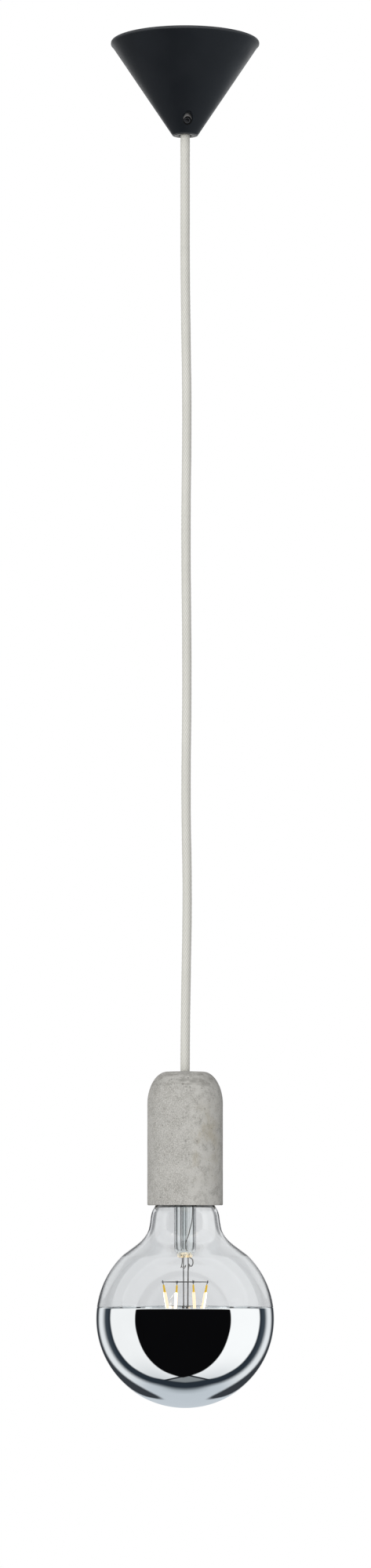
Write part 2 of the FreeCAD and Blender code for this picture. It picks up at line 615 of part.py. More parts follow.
add("filament_tabs", Part.makeCompound(tabs))

# Driver in the cap.
add("driver_board", cyl(9.6, -793.0, -791.8))
add("driver_capacitor", cyl(2.9, -800.4, -793.05, 3.2, 1.0))

# ==================================================================== write
os.makedirs("parts", exist_ok=True)
for f in os.listdir("parts"):
    if f.endswith(".step"):
        os.remove(os.path.join("parts", f))
for name, shape in nodes.items():
    ok = shape.isValid() and len(shape.Solids) > 0 and all(s.Volume > 0 for s in shape.Solids)
    if not ok:
        print("BAD", name, shape.ShapeType, shape.isValid(), len(shape.Solids),
              [round(s.Volume, 2) for s in shape.Solids])
    shape.exportStep("parts/%s.step" % name)
print(len(nodes), "nodes")
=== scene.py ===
import json
import math
import bpy
import bmesh
import numpy as np
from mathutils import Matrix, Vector, noise


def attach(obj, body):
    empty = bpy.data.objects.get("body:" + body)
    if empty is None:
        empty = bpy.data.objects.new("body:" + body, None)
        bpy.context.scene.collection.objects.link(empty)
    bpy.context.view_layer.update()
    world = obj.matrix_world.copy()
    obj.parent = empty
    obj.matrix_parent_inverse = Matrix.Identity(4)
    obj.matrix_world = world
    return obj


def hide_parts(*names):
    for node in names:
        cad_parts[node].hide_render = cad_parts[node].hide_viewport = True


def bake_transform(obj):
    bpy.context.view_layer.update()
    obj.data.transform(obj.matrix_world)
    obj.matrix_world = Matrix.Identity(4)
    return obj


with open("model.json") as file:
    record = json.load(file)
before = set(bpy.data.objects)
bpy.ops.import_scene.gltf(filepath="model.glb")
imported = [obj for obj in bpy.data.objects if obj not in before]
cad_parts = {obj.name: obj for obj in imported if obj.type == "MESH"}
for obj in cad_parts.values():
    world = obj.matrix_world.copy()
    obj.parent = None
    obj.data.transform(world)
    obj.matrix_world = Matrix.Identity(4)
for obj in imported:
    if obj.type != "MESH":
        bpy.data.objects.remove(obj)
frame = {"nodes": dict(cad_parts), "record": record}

nodes = frame["nodes"]
scene = bpy.context.scene


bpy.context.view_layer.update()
MM = 0.001
rng = np.random.RandomState(7)

# ------------------------------------------------------------------ camera
PX = 0.5497 * MM                       # metres per photograph pixel
HORIZON = 1545.0
DIST = 6600.0 * PX
cam_data = bpy.data.cameras.new("camera")
cam_data.sensor_width = 36.0
cam_data.lens = 36.0 * DIST / (2000.0 * PX)
cam_data.shift_y = (HORIZON - 1000.0) / 2000.0
cam_data.clip_end = 60.0
cam = bpy.data.objects.new("camera", cam_data)
cam.location = (0.5 * PX, -DIST, -(HORIZON - 53.5) * PX)
cam.rotation_euler = (math.radians(90), 0, 0)
scene.collection.objects.link(cam)
scene.camera = cam
scene.view_settings.view_transform = "Standard"
scene.view_settings.look = "None"
scene.cycles.max_bounces = 24
scene.cycles.transmission_bounces = 20
scene.cycles.glossy_bounces = 8
scene.cycles.diffuse_bounces = 4
scene.cycles.sample_clamp_indirect = 6.0


# ----------------------------------------------------------- node utilities
class Tree:
    """Small helper that wires shader nodes."""

    def __init__(self, tree):
        self.t = tree
        tree.nodes.clear()

    def n(self, kind, **props):
        node = self.t.nodes.new(kind)
        for k, v in props.items():
            setattr(node, k, v)
        return node

    def link(self, a, b):
        self.t.links.new(a, b)
        return b

    def put(self, sock, v):
        if isinstance(v, bpy.types.NodeSocket):
            self.link(v, sock)
        elif v is not None:
            sock.default_value = v

    def math(self, op, a, b=None, c=None, clamp=False):
        node = self.n("ShaderNodeMath", operation=op, use_clamp=clamp)
        for i, v in enumerate((a, b, c)):
            if v is not None:
                self.put(node.inputs[i], v)
        return node.outputs[0]

    def ramp(self, v, a, b, lo=0.0, hi=1.0, smooth=True):
        node = self.n("ShaderNodeMapRange")
        node.interpolation_type = "SMOOTHSTEP" if smooth else "LINEAR"
        self.put(node.inputs["Value"], v)
        self.put(node.inputs["From Min"], a)
        self.put(node.inputs["From Max"], b)
        self.put(node.inputs["To Min"], lo)
        self.put(node.inputs["To Max"], hi)
        return node.outputs[0]

    def mix(self, f, a, b, mode="MIX"):
        node = self.n("ShaderNodeMix", data_type="RGBA", blend_type=mode)
        self.put(node.inputs[0], f)
        self.put(node.inputs[6], a)
        self.put(node.inputs[7], b)
        return node.outputs[2]

    def noise(self, vec, scale, detail=4.0, rough=0.55, dist=0.0):
        node = self.n("ShaderNodeTexNoise")
        self.put(node.inputs["Vector"], vec)
        node.inputs["Scale"].default_value = scale
        node.inputs["Detail"].default_value = detail
        node.inputs["Roughness"].default_value = rough
        node.inputs["Distortion"].default_value = dist
        return node.outputs["Fac"]

    def voronoi(self, vec, scale, feature="F1", out="Distance", rand=1.0):
        node = self.n("ShaderNodeTexVoronoi", feature=feature)
        self.put(node.inputs["Vector"], vec)
        node.inputs["Scale"].default_value = scale
        node.inputs["Randomness"].default_value = rand
        return node.outputs[out]

    def curve(self, x, x_max, y_max, points):
        """A smooth curve through (x, y) points, clamped at its ends."""
        node = self.n("ShaderNodeFloatCurve")
        c = node.mapping.curves[0]
        pts = [(px / x_max, py / y_max) for px, py in points]
        c.points[0].location = pts[0]
        c.points[1].location = pts[-1]
        for p in pts[1:-1]:
            c.points.new(*p)
        node.mapping.update()
        self.put(node.inputs["Value"], self.math("DIVIDE", x, x_max))
        return self.math("MULTIPLY", node.outputs[0], y_max)

    def bump(self, height, strength, distance, normal=None):
        node = self.n("ShaderNodeBump")
        self.put(node.inputs["Height"], height)
        node.inputs["Strength"].default_value = strength
        node.inputs["Distance"].default_value = distance
        if normal is not None:
            self.link(normal, node.inputs["Normal"])
        return node.outputs["Normal"]


def material(name):
    m = bpy.data.materials.new(name)
    m.use_nodes = True
    t = Tree(m.node_tree)
    out = t.n("ShaderNodeOutputMaterial")
    p = t.n("ShaderNodeBsdfPrincipled")
    t.link(p.outputs[0], out.inputs["Surface"])
    co = t.n("ShaderNodeTexCoord").outputs["Object"]
    return m, t, p, co


def c4(r, g, b):
    return (r, g, b, 1.0)


def varied(t, co, base, amount, scale, detail=3.0):
    """A colour that drifts a little lighter and darker over the surface."""
    f = t.noise(co, scale, detail)
    lo = c4(*[v * (1 - amount) for v in base])
    hi = c4(*[min(1.0, v * (1 + amount)) for v in base])
    return t.mix(t.ramp(f, 0.3, 0.7), lo, hi)


def metal(name, base, rough, spread=0.06, scale=900.0, bump=0.00003, rings=None, tarnish=None):
    m, t, p, co = material(name)
    col = varied(t, co, base, 0.10, 240.0)
    if tarnish:
        f = t.ramp(t.noise(co, 420.0, 5.0), 0.48, 0.72)
        col = t.mix(f, col, c4(*tarnish))
    t.put(p.inputs["Base Color"], col)
    p.inputs["Metallic"].default_value = 1.0
    t.put(p.inputs["Roughness"], t.ramp(t.noise(co, scale, 4.0), 0.25, 0.75,
                                       max(0.02, rough - spread), rough + spread))
    h = t.noise(co, scale * 2.0, 3.0)
    if rings:
        w = t.n("ShaderNodeTexWave", wave_type="RINGS", rings_direction="Z")
        t.put(w.inputs["Vector"], co)
        w.inputs["Scale"].default_value = rings
        w.inputs["Distortion"].default_value = 0.6
        h = t.math("ADD", h, w.outputs["Fac"])
    t.put(p.inputs["Normal"], t.bump(h, 0.35, bump))
    return m


def plastic(name, base, rough, scale=700.0, bump=0.00006, amount=0.08, coat=0.0, sub=0.0):
    m, t, p, co = material(name)
    t.put(p.inputs["Base Color"], varied(t, co, base, amount, 160.0))
    t.put(p.inputs["Roughness"], t.ramp(t.noise(co, 380.0, 4.0), 0.3, 0.7, rough - 0.05, rough + 0.07))
    t.put(p.inputs["Normal"], t.bump(t.noise(co, scale, 5.0), 0.4, bump))
    if coat:
        p.inputs["Coat Weight"].default_value = coat
        p.inputs["Coat Roughness"].default_value = 0.15
    if sub:
        p.inputs["Subsurface Weight"].default_value = sub
        p.inputs["Subsurface Radius"].default_value = (0.002, 0.0016, 0.0012)
        p.inputs["Subsurface Scale"].default_value = 1.0
    return m


# ---------------------------------------------------------------- materials
def make_powder():
    """Satin black powder coat: fine orange peel, with a painted highlight along the rim and the nose."""
    m, t, p, co = material("black_powder_coat")
    broad = t.noise(co, 22.0, 3.0)
    fine = t.noise(co, 1500.0, 3.0, 0.6)
    col = t.mix(t.ramp(broad, 0.3, 0.7), c4(0.0080, 0.0104, 0.0142), c4(0.0112, 0.0140, 0.0186))
    # painted highlight: lighter grey along the rim and the nose, where the edge attribute is set
    rim_highlight = t.n("ShaderNodeAttribute", attribute_name="edge")
    col = t.mix(t.math("MULTIPLY", rim_highlight.outputs["Fac"], 0.75), col, c4(0.085, 0.090, 0.097))
    speck = t.ramp(t.voronoi(co, 900.0), 0.03, 0.10, 1.0, 0.0)
    col = t.mix(t.math("MULTIPLY", speck, 0.22), col, c4(0.06, 0.063, 0.068))
    t.put(p.inputs["Base Color"], col)
    t.put(p.inputs["Roughness"], t.ramp(t.noise(co, 60.0, 5.0), 0.3, 0.7, 0.40, 0.52))
    p.inputs["Specular IOR Level"].default_value = 0.30
    p.inputs["Coat Weight"].default_value = 0.18
    p.inputs["Coat Roughness"].default_value = 0.22
    peel = t.noise(co, 520.0, 2.0)
    nrm = t.bump(peel, 0.25, 0.00012)
    t.put(p.inputs["Normal"], t.bump(fine, 0.35, 0.00004, nrm))
    return m


def make_cord():
    """Braided textile: threads along each strand, shade in the crossings."""
    m, t, p, co = material("cord_textile")
    uv = t.n("ShaderNodeUVMap", uv_map="weave").outputs[0]
    sep = t.n("ShaderNodeSeparateXYZ")
    t.link(uv, sep.inputs[0])
    recess_shade = t.n("ShaderNodeAttribute", attribute_name="painted_recess_shade").outputs["Fac"]
    fam = t.n("ShaderNodeAttribute", attribute_name="family").outputs["Fac"]
    a = t.math("MULTIPLY", t.math("ADD", sep.outputs[0], sep.outputs[1]), 6.2832 * 5)
    b = t.math("MULTIPLY", t.math("SUBTRACT", sep.outputs[0], sep.outputs[1]), 6.2832 * 5)
    pick = t.mix(fam, t.math("SINE", a), t.math("SINE", b))
    thread = t.math("MULTIPLY_ADD", pick, 0.5, 0.5)
    mottle = t.noise(co, 900.0, 4.0)
    slow = t.noise(co, 18.0, 3.0)
    base = t.mix(t.ramp(slow, 0.3, 0.7), c4(0.79, 0.785, 0.73), c4(0.85, 0.845, 0.79))
    base = t.mix(t.math("MULTIPLY", t.ramp(mottle, 0.35, 0.7), 0.35), base, c4(0.86, 0.85, 0.81))
    base = t.mix(t.math("MULTIPLY", t.math("SUBTRACT", 1.0, thread), 0.16), base, c4(0.52, 0.51, 0.47))
    # painted shade: darker where a strand dips under its neighbour
    base = t.mix(t.math("MULTIPLY", recess_shade, 0.60), base, c4(0.30, 0.295, 0.265))
    t.put(p.inputs["Base Color"], base)
    t.put(p.inputs["Roughness"], t.ramp(mottle, 0.3, 0.7, 0.78, 0.92))
    p.inputs["Specular IOR Level"].default_value = 0.25
    p.inputs["Sheen Weight"].default_value = 0.25
    p.inputs["Sheen Roughness"].default_value = 0.5
    n1 = t.bump(thread, 0.5, 0.00008)
    t.put(p.inputs["Normal"], t.bump(t.noise(co, 5200.0, 3.0), 0.5, 0.00005, n1))
    return m


def make_concrete():
    """Cast concrete: cement paste with sand grains, pores, cloudy tone, faint stains."""
    m, t, p, co = material("concrete")
    sep = t.n("ShaderNodeSeparateXYZ")
    t.link(co, sep.inputs[0])
    cloud = t.noise(co, 34.0, 5.0, 0.6)
    mid = t.noise(co, 170.0, 5.0, 0.62)
    fine = t.noise(co, 1300.0, 4.0, 0.65)
    col = t.mix(t.ramp(cloud, 0.28, 0.72), c4(0.415, 0.406, 0.382), c4(0.530, 0.521, 0.493))
    clean = t.math("MULTIPLY", t.ramp(sep.outputs[0], -0.002, 0.010), t.ramp(sep.outputs[0], 0.021, 0.027, 1.0, 0.15))
    clean = t.math("MULTIPLY", clean, t.ramp(sep.outputs[1], -0.012, 0.0, 1.0, 0.0))
    col = t.mix(t.math("MULTIPLY", clean, 0.62), col, c4(0.70, 0.69, 0.655))
    col = t.mix(t.ramp(sep.outputs[0], -0.022, 0.004, 0.17, 0.0), col, c4(0.20, 0.195, 0.185))
    col = t.mix(t.math("MULTIPLY", t.ramp(mid, 0.40, 0.70), 0.75), col, c4(0.330, 0.320, 0.295))
    col = t.mix(t.math("MULTIPLY", t.ramp(fine, 0.42, 0.60), 0.62), col, c4(0.68, 0.67, 0.64))
    smear = t.n("ShaderNodeMapping")
    t.link(co, smear.inputs["Vector"])
    smear.inputs["Scale"].default_value = (70.0, 70.0, 260.0)
    sm = t.ramp(t.noise(smear.outputs[0], 1.0, 4.0, 0.6), 0.50, 0.66)
    sm = t.math("MULTIPLY", sm, t.ramp(sep.outputs[2], -0.738, -0.728))
    col = t.mix(t.math("MULTIPLY", sm, 0.55), col, c4(0.22, 0.21, 0.19))
    dark = t.ramp(t.voronoi(co, 620.0), 0.10, 0.20, 1.0, 0.0)
    some = t.ramp(t.noise(co, 260.0, 2.0), 0.50, 0.62)
    col = t.mix(t.math("MULTIPLY", t.math("MULTIPLY", dark, some), 0.75), col, c4(0.10, 0.10, 0.095))
    light = t.ramp(t.voronoi(co, 480.0), 0.08, 0.16, 1.0, 0.0)
    some2 = t.ramp(t.noise(co, 210.0, 2.0, 0.5, 0.4), 0.54, 0.64)
    col = t.mix(t.math("MULTIPLY", t.math("MULTIPLY", light, some2), 0.6), col, c4(0.66, 0.66, 0.63))
    # faint ochre stain on the front, right of the middle
    side = t.ramp(sep.outputs[0], 0.001, 0.011)
    side2 = t.ramp(sep.outputs[0], 0.018, 0.026, 1.0, 0.0)
    front = t.ramp(sep.outputs[1], -0.012, 0.0, 1.0, 0.0)
    tall = t.math("MULTIPLY", t.ramp(sep.outputs[2], -0.806, -0.786), t.ramp(sep.outputs[2], -0.760, -0.738, 1.0, 0.0))
    blot = t.ramp(t.noise(co, 75.0, 4.0, 0.6, 0.5), 0.42, 0.68)
    st = t.math("MULTIPLY", t.math("MULTIPLY", side, side2), t.math("MULTIPLY", front, tall))
    st = t.math("MULTIPLY", t.math("MULTIPLY", st, blot), 0.42)
    col = t.mix(st, col, c4(0.40, 0.34, 0.22))
    # painted shade: darker inside the pores, from the pore mask attribute
    recess_shade = t.n("ShaderNodeAttribute", attribute_name="painted_recess_shade").outputs["Fac"]
    col = t.mix(t.math("MULTIPLY", recess_shade, 0.62), col, c4(0.15, 0.147, 0.135))
    t.put(p.inputs["Base Color"], col)
    t.put(p.inputs["Roughness"], t.ramp(fine, 0.3, 0.7, 0.82, 0.95))
    p.inputs["Specular IOR Level"].default_value = 0.28
    n1 = t.bump(mid, 0.35, 0.00035)
    n2 = t.bump(fine, 0.55, 0.00022, n1)
    pores = t.ramp(t.voronoi(co, 760.0), 0.05, 0.22)
    t.put(p.inputs["Normal"], t.bump(pores, 0.35, 0.00018, n2))
    return m


def make_glass(name, tint, ripple=0.00004):
    m, t, p, co = material(name)
    t.put(p.inputs["Base Color"], varied(t, co, tint, 0.012, 40.0))
    p.inputs["Roughness"].default_value = 0.0
    p.inputs["IOR"].default_value = 1.56
    p.inputs["Transmission Weight"].default_value = 1.0
    t.put(p.inputs["Normal"], t.bump(t.noise(co, 55.0, 2.0), 0.10, ripple))
    return m


def make_stem():
    """Stem glass, with a painted golden glow at the press, standing in for the light of the strips under it."""
    m, t, p, co = material("stem_glass")
    sep = t.n("ShaderNodeSeparateXYZ")
    t.link(co, sep.inputs[0])
    # painted glow: golden colour and emission at the press stand in for the strips' light
    press_glow = t.ramp(sep.outputs[2], -0.8503, -0.8494, 1.0, 0.0)
    glow_spots = t.ramp(t.noise(co, 620.0, 2.0), 0.44, 0.60)
    t.put(p.inputs["Base Color"], t.mix(t.math("MULTIPLY", press_glow, 0.7), c4(0.945, 0.965, 0.965), c4(1.0, 0.80, 0.45)))
    p.inputs["Roughness"].default_value = 0.0
    p.inputs["IOR"].default_value = 1.52
    p.inputs["Transmission Weight"].default_value = 1.0
    p.inputs["Emission Color"].default_value = c4(1.0, 0.72, 0.34)
    t.put(p.inputs["Emission Strength"], t.math("MULTIPLY", t.math("MULTIPLY", press_glow, glow_spots), 0.75))
    t.put(p.inputs["Normal"], t.bump(t.noise(co, 90.0, 2.0), 0.15, 0.00008))
    return m


def make_mirror():
    m, t, p, co = material("mirror_coat")
    t.put(p.inputs["Base Color"], varied(t, co, (0.90, 0.915, 0.925), 0.015, 30.0))
    p.inputs["Metallic"].default_value = 1.0
    p.inputs["Roughness"].default_value = 0.0
    t.put(p.inputs["Normal"], t.bump(t.noise(co, 45.0, 2.0), 0.05, 0.00004))
    return m


def make_filament():
    """Phosphor strip: glowing below; the unlit yellow top end carries a weaker painted glow."""
    m, t, p, co = material("phosphor_lit")
    sep = t.n("ShaderNodeSeparateXYZ")
    t.link(co, sep.inputs[0])
    lit = t.ramp(sep.outputs[2], -0.8772, -0.8762, 1.0, 0.0)
    low = t.ramp(sep.outputs[2], -0.9050, -0.9040, 0.0, 1.0)
    on = t.math("MULTIPLY", lit, low)
    grain = t.noise(co, 2600.0, 3.0)
    yellow = t.mix(t.ramp(grain, 0.3, 0.7), c4(0.90, 0.56, 0.020), c4(0.98, 0.74, 0.06))
    t.put(p.inputs["Base Color"], yellow)
    p.inputs["Roughness"].default_value = 0.45
    chips = t.ramp(t.math("SINE", t.math("MULTIPLY", sep.outputs[2], 5200.0)), -1.0, 1.0, 0.85, 1.1)
    face = t.n("ShaderNodeAttribute", attribute_name="face").outputs["Fac"]
    core = t.ramp(face, 0.62, 0.97)
    warm = t.mix(core, c4(1.0, 0.80, 0.66), c4(1.0, 0.96, 0.90))
    glow_col = t.mix(on, c4(0.95, 0.58, 0.03), warm)
    t.put(p.inputs["Emission Color"], glow_col)
    level = t.math("MULTIPLY", t.math("MULTIPLY_ADD", core, 2.2, 1.08), chips)
    # the unlit top ends also emit at 0.52: a painted glow that brightens their yellow
    glow_with_painted_tops = t.math("ADD", t.math("MULTIPLY", level, on), t.math("MULTIPLY", t.math("SUBTRACT", 1.0, on), 0.52))
    t.put(p.inputs["Emission Strength"], glow_with_painted_tops)
    t.put(p.inputs["Normal"], t.bump(grain, 0.3, 0.00005))
    return m


def make_board():
    m, t, p, co = material("circuit")
    tr = t.voronoi(co, 420.0, "F1", "Distance", 0.35)
    col = t.mix(t.ramp(tr, 0.22, 0.30), c4(0.35, 0.33, 0.12), c4(0.02, 0.12, 0.055))
    t.put(p.inputs["Base Color"], col)
    t.put(p.inputs["Roughness"], t.ramp(t.noise(co, 500.0), 0.3, 0.7, 0.28, 0.42))
    t.put(p.inputs["Normal"], t.bump(tr, 0.3, 0.00006))
    return m


M = {
    "black_powder_coat": make_powder(),
    "cord_textile": make_cord(),
    "concrete": make_concrete(),
    "clear_glass": make_glass("clear_glass", (0.985, 0.992, 0.992)),
    "stem_glass": make_stem(),
    "black_steel": metal("black_steel", (0.045, 0.046, 0.05), 0.35, 0.08, 1400.0),
    "grey_collar": metal("grey_collar", (0.20, 0.195, 0.19), 0.42, 0.08, 700.0, rings=620.0),
    "mirror_coat": make_mirror(),
    "phosphor": make_filament(),
    "zinc": metal("zinc", (0.62, 0.63, 0.64), 0.30, rings=620.0),
    "galvanised": metal("galvanised", (0.50, 0.52, 0.54), 0.42, 0.10, 500.0, 0.00005, tarnish=(0.40, 0.41, 0.43)),
    "brass": metal("brass", (0.78, 0.57, 0.27), 0.28, tarnish=(0.52, 0.36, 0.18)),
    "nickel_brass": metal("nickel_brass", (0.72, 0.69, 0.63), 0.22, rings=500.0),
    "wire_steel": metal("wire_steel", (0.22, 0.215, 0.21), 0.34, 0.08, 2000.0, tarnish=(0.12, 0.11, 0.10)),
    "nylon_white": plastic("nylon_white", (0.74, 0.73, 0.70), 0.45, sub=0.05),
    "plastic_black": plastic("plastic_black", (0.022, 0.022, 0.024), 0.38, amount=0.15),
    "plastic_white": plastic("plastic_white", (0.8, 0.8, 0.78), 0.3, coat=0.2),
    "seal_rubber": plastic("seal_rubber", (0.03, 0.03, 0.03), 0.7, 1200.0, 0.0001, 0.2),
    "wire_brown": plastic("wire_brown", (0.13, 0.055, 0.03), 0.4),
    "wire_blue": plastic("wire_blue", (0.02, 0.11, 0.38), 0.4),
    "ceramic": plastic("ceramic", (0.80, 0.78, 0.72), 0.55, 1500.0, 0.00012, 0.06),
    "vitrite": plastic("vitrite", (0.012, 0.012, 0.014), 0.12, 600.0, 0.00003, 0.2, coat=0.4),
    "circuit": make_board(),
}

slot_of = {s["node"]: s["material_slot"] for s in frame["record"]["subparts"]}
for name, obj in nodes.items():
    mat = M.get(slot_of.get(name, ""), M["zinc"])
    if name in ("glass_stem", "exhaust_tube"):
        mat = M["stem_glass"]
    if name in ("set_screw", "screw_pad"):
        mat = M["black_steel"]
    if name == "canopy_collar":
        mat = M["grey_collar"]
    obj.data.materials.clear()
    obj.data.materials.append(mat)


# --------------------------------------------------------------- mesh tools
def mesh_object(name, verts, faces, mat, sharp=35.0, fix=True):
    me = bpy.data.meshes.new(name)
    me.from_pydata([tuple(v) for v in np.asarray(verts, float) * MM], [], faces)
    if fix:
        bm = bmesh.new()
        bm.from_mesh(me)
        bmesh.ops.recalc_face_normals(bm, faces=bm.faces)
        bm.to_mesh(me)
        bm.free()
    me.polygons.foreach_set("use_smooth", [True] * len(me.polygons))
    if sharp:
        me.set_sharp_from_angle(angle=math.radians(sharp))
    me.materials.append(mat)
    ob = bpy.data.objects.new(name, me)
    scene.collection.objects.link(ob)
    return ob


def attribute(ob, name, values):
    a = ob.data.attributes.new(name, "FLOAT", "POINT")
    a.data.foreach_set("value", np.asarray(values, np.float32))


def lathe_arrays(profile, segs, closed=True):
    """Vertices and faces of a profile turned about Z; r = 0 makes a pole."""
    verts, rows = [], []
    for r, z in profile:
        if r < 1e-6:
            rows.append(("pole", len(verts)))
            verts.append((0.0, 0.0, z))
        else:
            rows.append(("ring", len(verts)))
            for i in range(segs):
                t = 2 * math.pi * i / segs
                verts.append((r * math.cos(t), r * math.sin(t), z))
    faces = []
    n = len(rows)
    for k in range(n if closed else n - 1):
        ka, a = rows[k]
        kb, b = rows[(k + 1) % n]
        if ka == "pole" and kb == "pole":
            continue
        for i in range(segs):
            j = (i + 1) % segs
            if ka == "pole":
                faces.append((a, b + i, b + j))
            elif kb == "pole":
                faces.append((a + i, b, a + j))
            else:
                faces.append((a + i, b + i, b + j, a + j))
    return verts, faces


def arc_pts(cx, cz, rx, rz, a0, a1, n):
    return [(cx + rx * math.cos(math.radians(a0 + (a1 - a0) * i / n)),
             cz + rz * math.sin(math.radians(a0 + (a1 - a0) * i / n))) for i in range(n + 1)]


def smooth_path(points, per=12):
    """Centripetal interpolation through points of any dimension."""
    p = [np.array(q, float) for q in points]
    p = [2 * p[0] - p[1]] + p + [2 * p[-1] - p[-2]]
    out = []
    for i in range(1, len(p) - 2):
        t = [0.0]
        for a, b in ((i - 1, i), (i, i + 1), (i + 1, i + 2)):
            t.append(t[-1] + max(1e-6, np.linalg.norm(p[b] - p[a])) ** 0.5)
        for k in range(per):
            u = t[1] + (t[2] - t[1]) * k / per
            a1 = (t[1] - u) / (t[1] - t[0]) * p[i - 1] + (u - t[0]) / (t[1] - t[0]) * p[i]
            a2 = (t[2] - u) / (t[2] - t[1]) * p[i] + (u - t[1]) / (t[2] - t[1]) * p[i + 1]
            a3 = (t[3] - u) / (t[3] - t[2]) * p[i + 1] + (u - t[2]) / (t[3] - t[2]) * p[i + 2]
            b1 = (t[2] - u) / (t[2] - t[0]) * a1 + (u - t[0]) / (t[2] - t[0]) * a2
            b2 = (t[3] - u) / (t[3] - t[1]) * a2 + (u - t[1]) / (t[3] - t[1]) * a3
            out.append((t[2] - u) / (t[2] - t[1]) * b1 + (u - t[1]) / (t[2] - t[1]) * b2)
    out.append(p[-2])
    return out


def sweep_arrays(path, radii, segs=12, squash_y=1.0, up=None, off=0):
    """Round tube along a path (mm), with a radius at every point and flat caps at the ends."""
    path = [np.array(q, float) for q in path]
    n = len(path)
    radii = [radii] * n if np.isscalar(radii) else list(radii)
    verts, faces = [], []
    ref = np.array(up if up is not None else (0.0, 1.0, 0.0), float)
    prev = None
    for i in range(n):
        t = path[min(i + 1, n - 1)] - path[max(i - 1, 0)]
        t /= max(1e-9, np.linalg.norm(t))
        base = ref if prev is None else prev
        a = base - t * np.dot(base, t)
        if np.linalg.norm(a) < 1e-4:
            base = np.array((1.0, 0.0, 0.0))
            a = base - t * np.dot(base, t)
        a /= np.linalg.norm(a)
        b = np.cross(t, a)
        prev = a
        for k in range(segs):
            w = 2 * math.pi * k / segs
            verts.append(path[i] + radii[i] * (math.cos(w) * a * squash_y + math.sin(w) * b))
    for i in range(n - 1):
        for k in range(segs):
            m = (k + 1) % segs
            faces.append((off + i * segs + k, off + i * segs + m,
                          off + (i + 1) * segs + m, off + (i + 1) * segs + k))
    faces.append(tuple(off + k for k in range(segs))[::-1])
    faces.append(tuple(off + (n - 1) * segs + k for k in range(segs)))
    return verts, faces


def capsule_radii(path, r, dome):
    path = np.array(path, float)
    d = np.concatenate([[0], np.cumsum(np.linalg.norm(np.diff(path, axis=0), axis=1))])
    out = []
    for s in d:
        e = min(s, d[-1] - s)
        out.append(r if e >= dome else r * math.sqrt(max(0.02, 1 - (1 - e / dome) ** 2)))
    return out


def joined(parts):
    verts, faces = [], []
    for v, f in parts:
        o = len(verts)
        verts.extend(v)
        faces.extend([tuple(i + o for i in q) for q in f])
    return verts, faces


# --------------------------------------------------------------------- cord
CORD_R = 3.3
STRANDS = 12
PITCH_V = 1.6


def route_line(points, name):
    """Points read from the route's own NURBS spline, in mm."""
    cu = bpy.data.curves.new(name, "CURVE")
    cu.dimensions = "3D"
    sp = cu.splines.new("NURBS")
    sp.points.add(len(points) - 1)
    for q, p in zip(sp.points, points):
        q.co = (p[0] * MM, p[1] * MM, p[2] * MM, 1.0)
    sp.order_u = 3
    sp.use_endpoint_u = True
    cu.resolution_u = 48
    ob = bpy.data.objects.new(name, cu)
    scene.collection.objects.link(ob)
    bpy.context.view_layer.update()
    deps = bpy.context.evaluated_depsgraph_get()
    me = bpy.data.meshes.new_from_object(ob.evaluated_get(deps), depsgraph=deps)
    line = [np.array(v.co) / MM for v in me.vertices]
    bpy.data.meshes.remove(me)
    bpy.data.objects.remove(ob)
    bpy.data.curves.remove(cu)
    return line


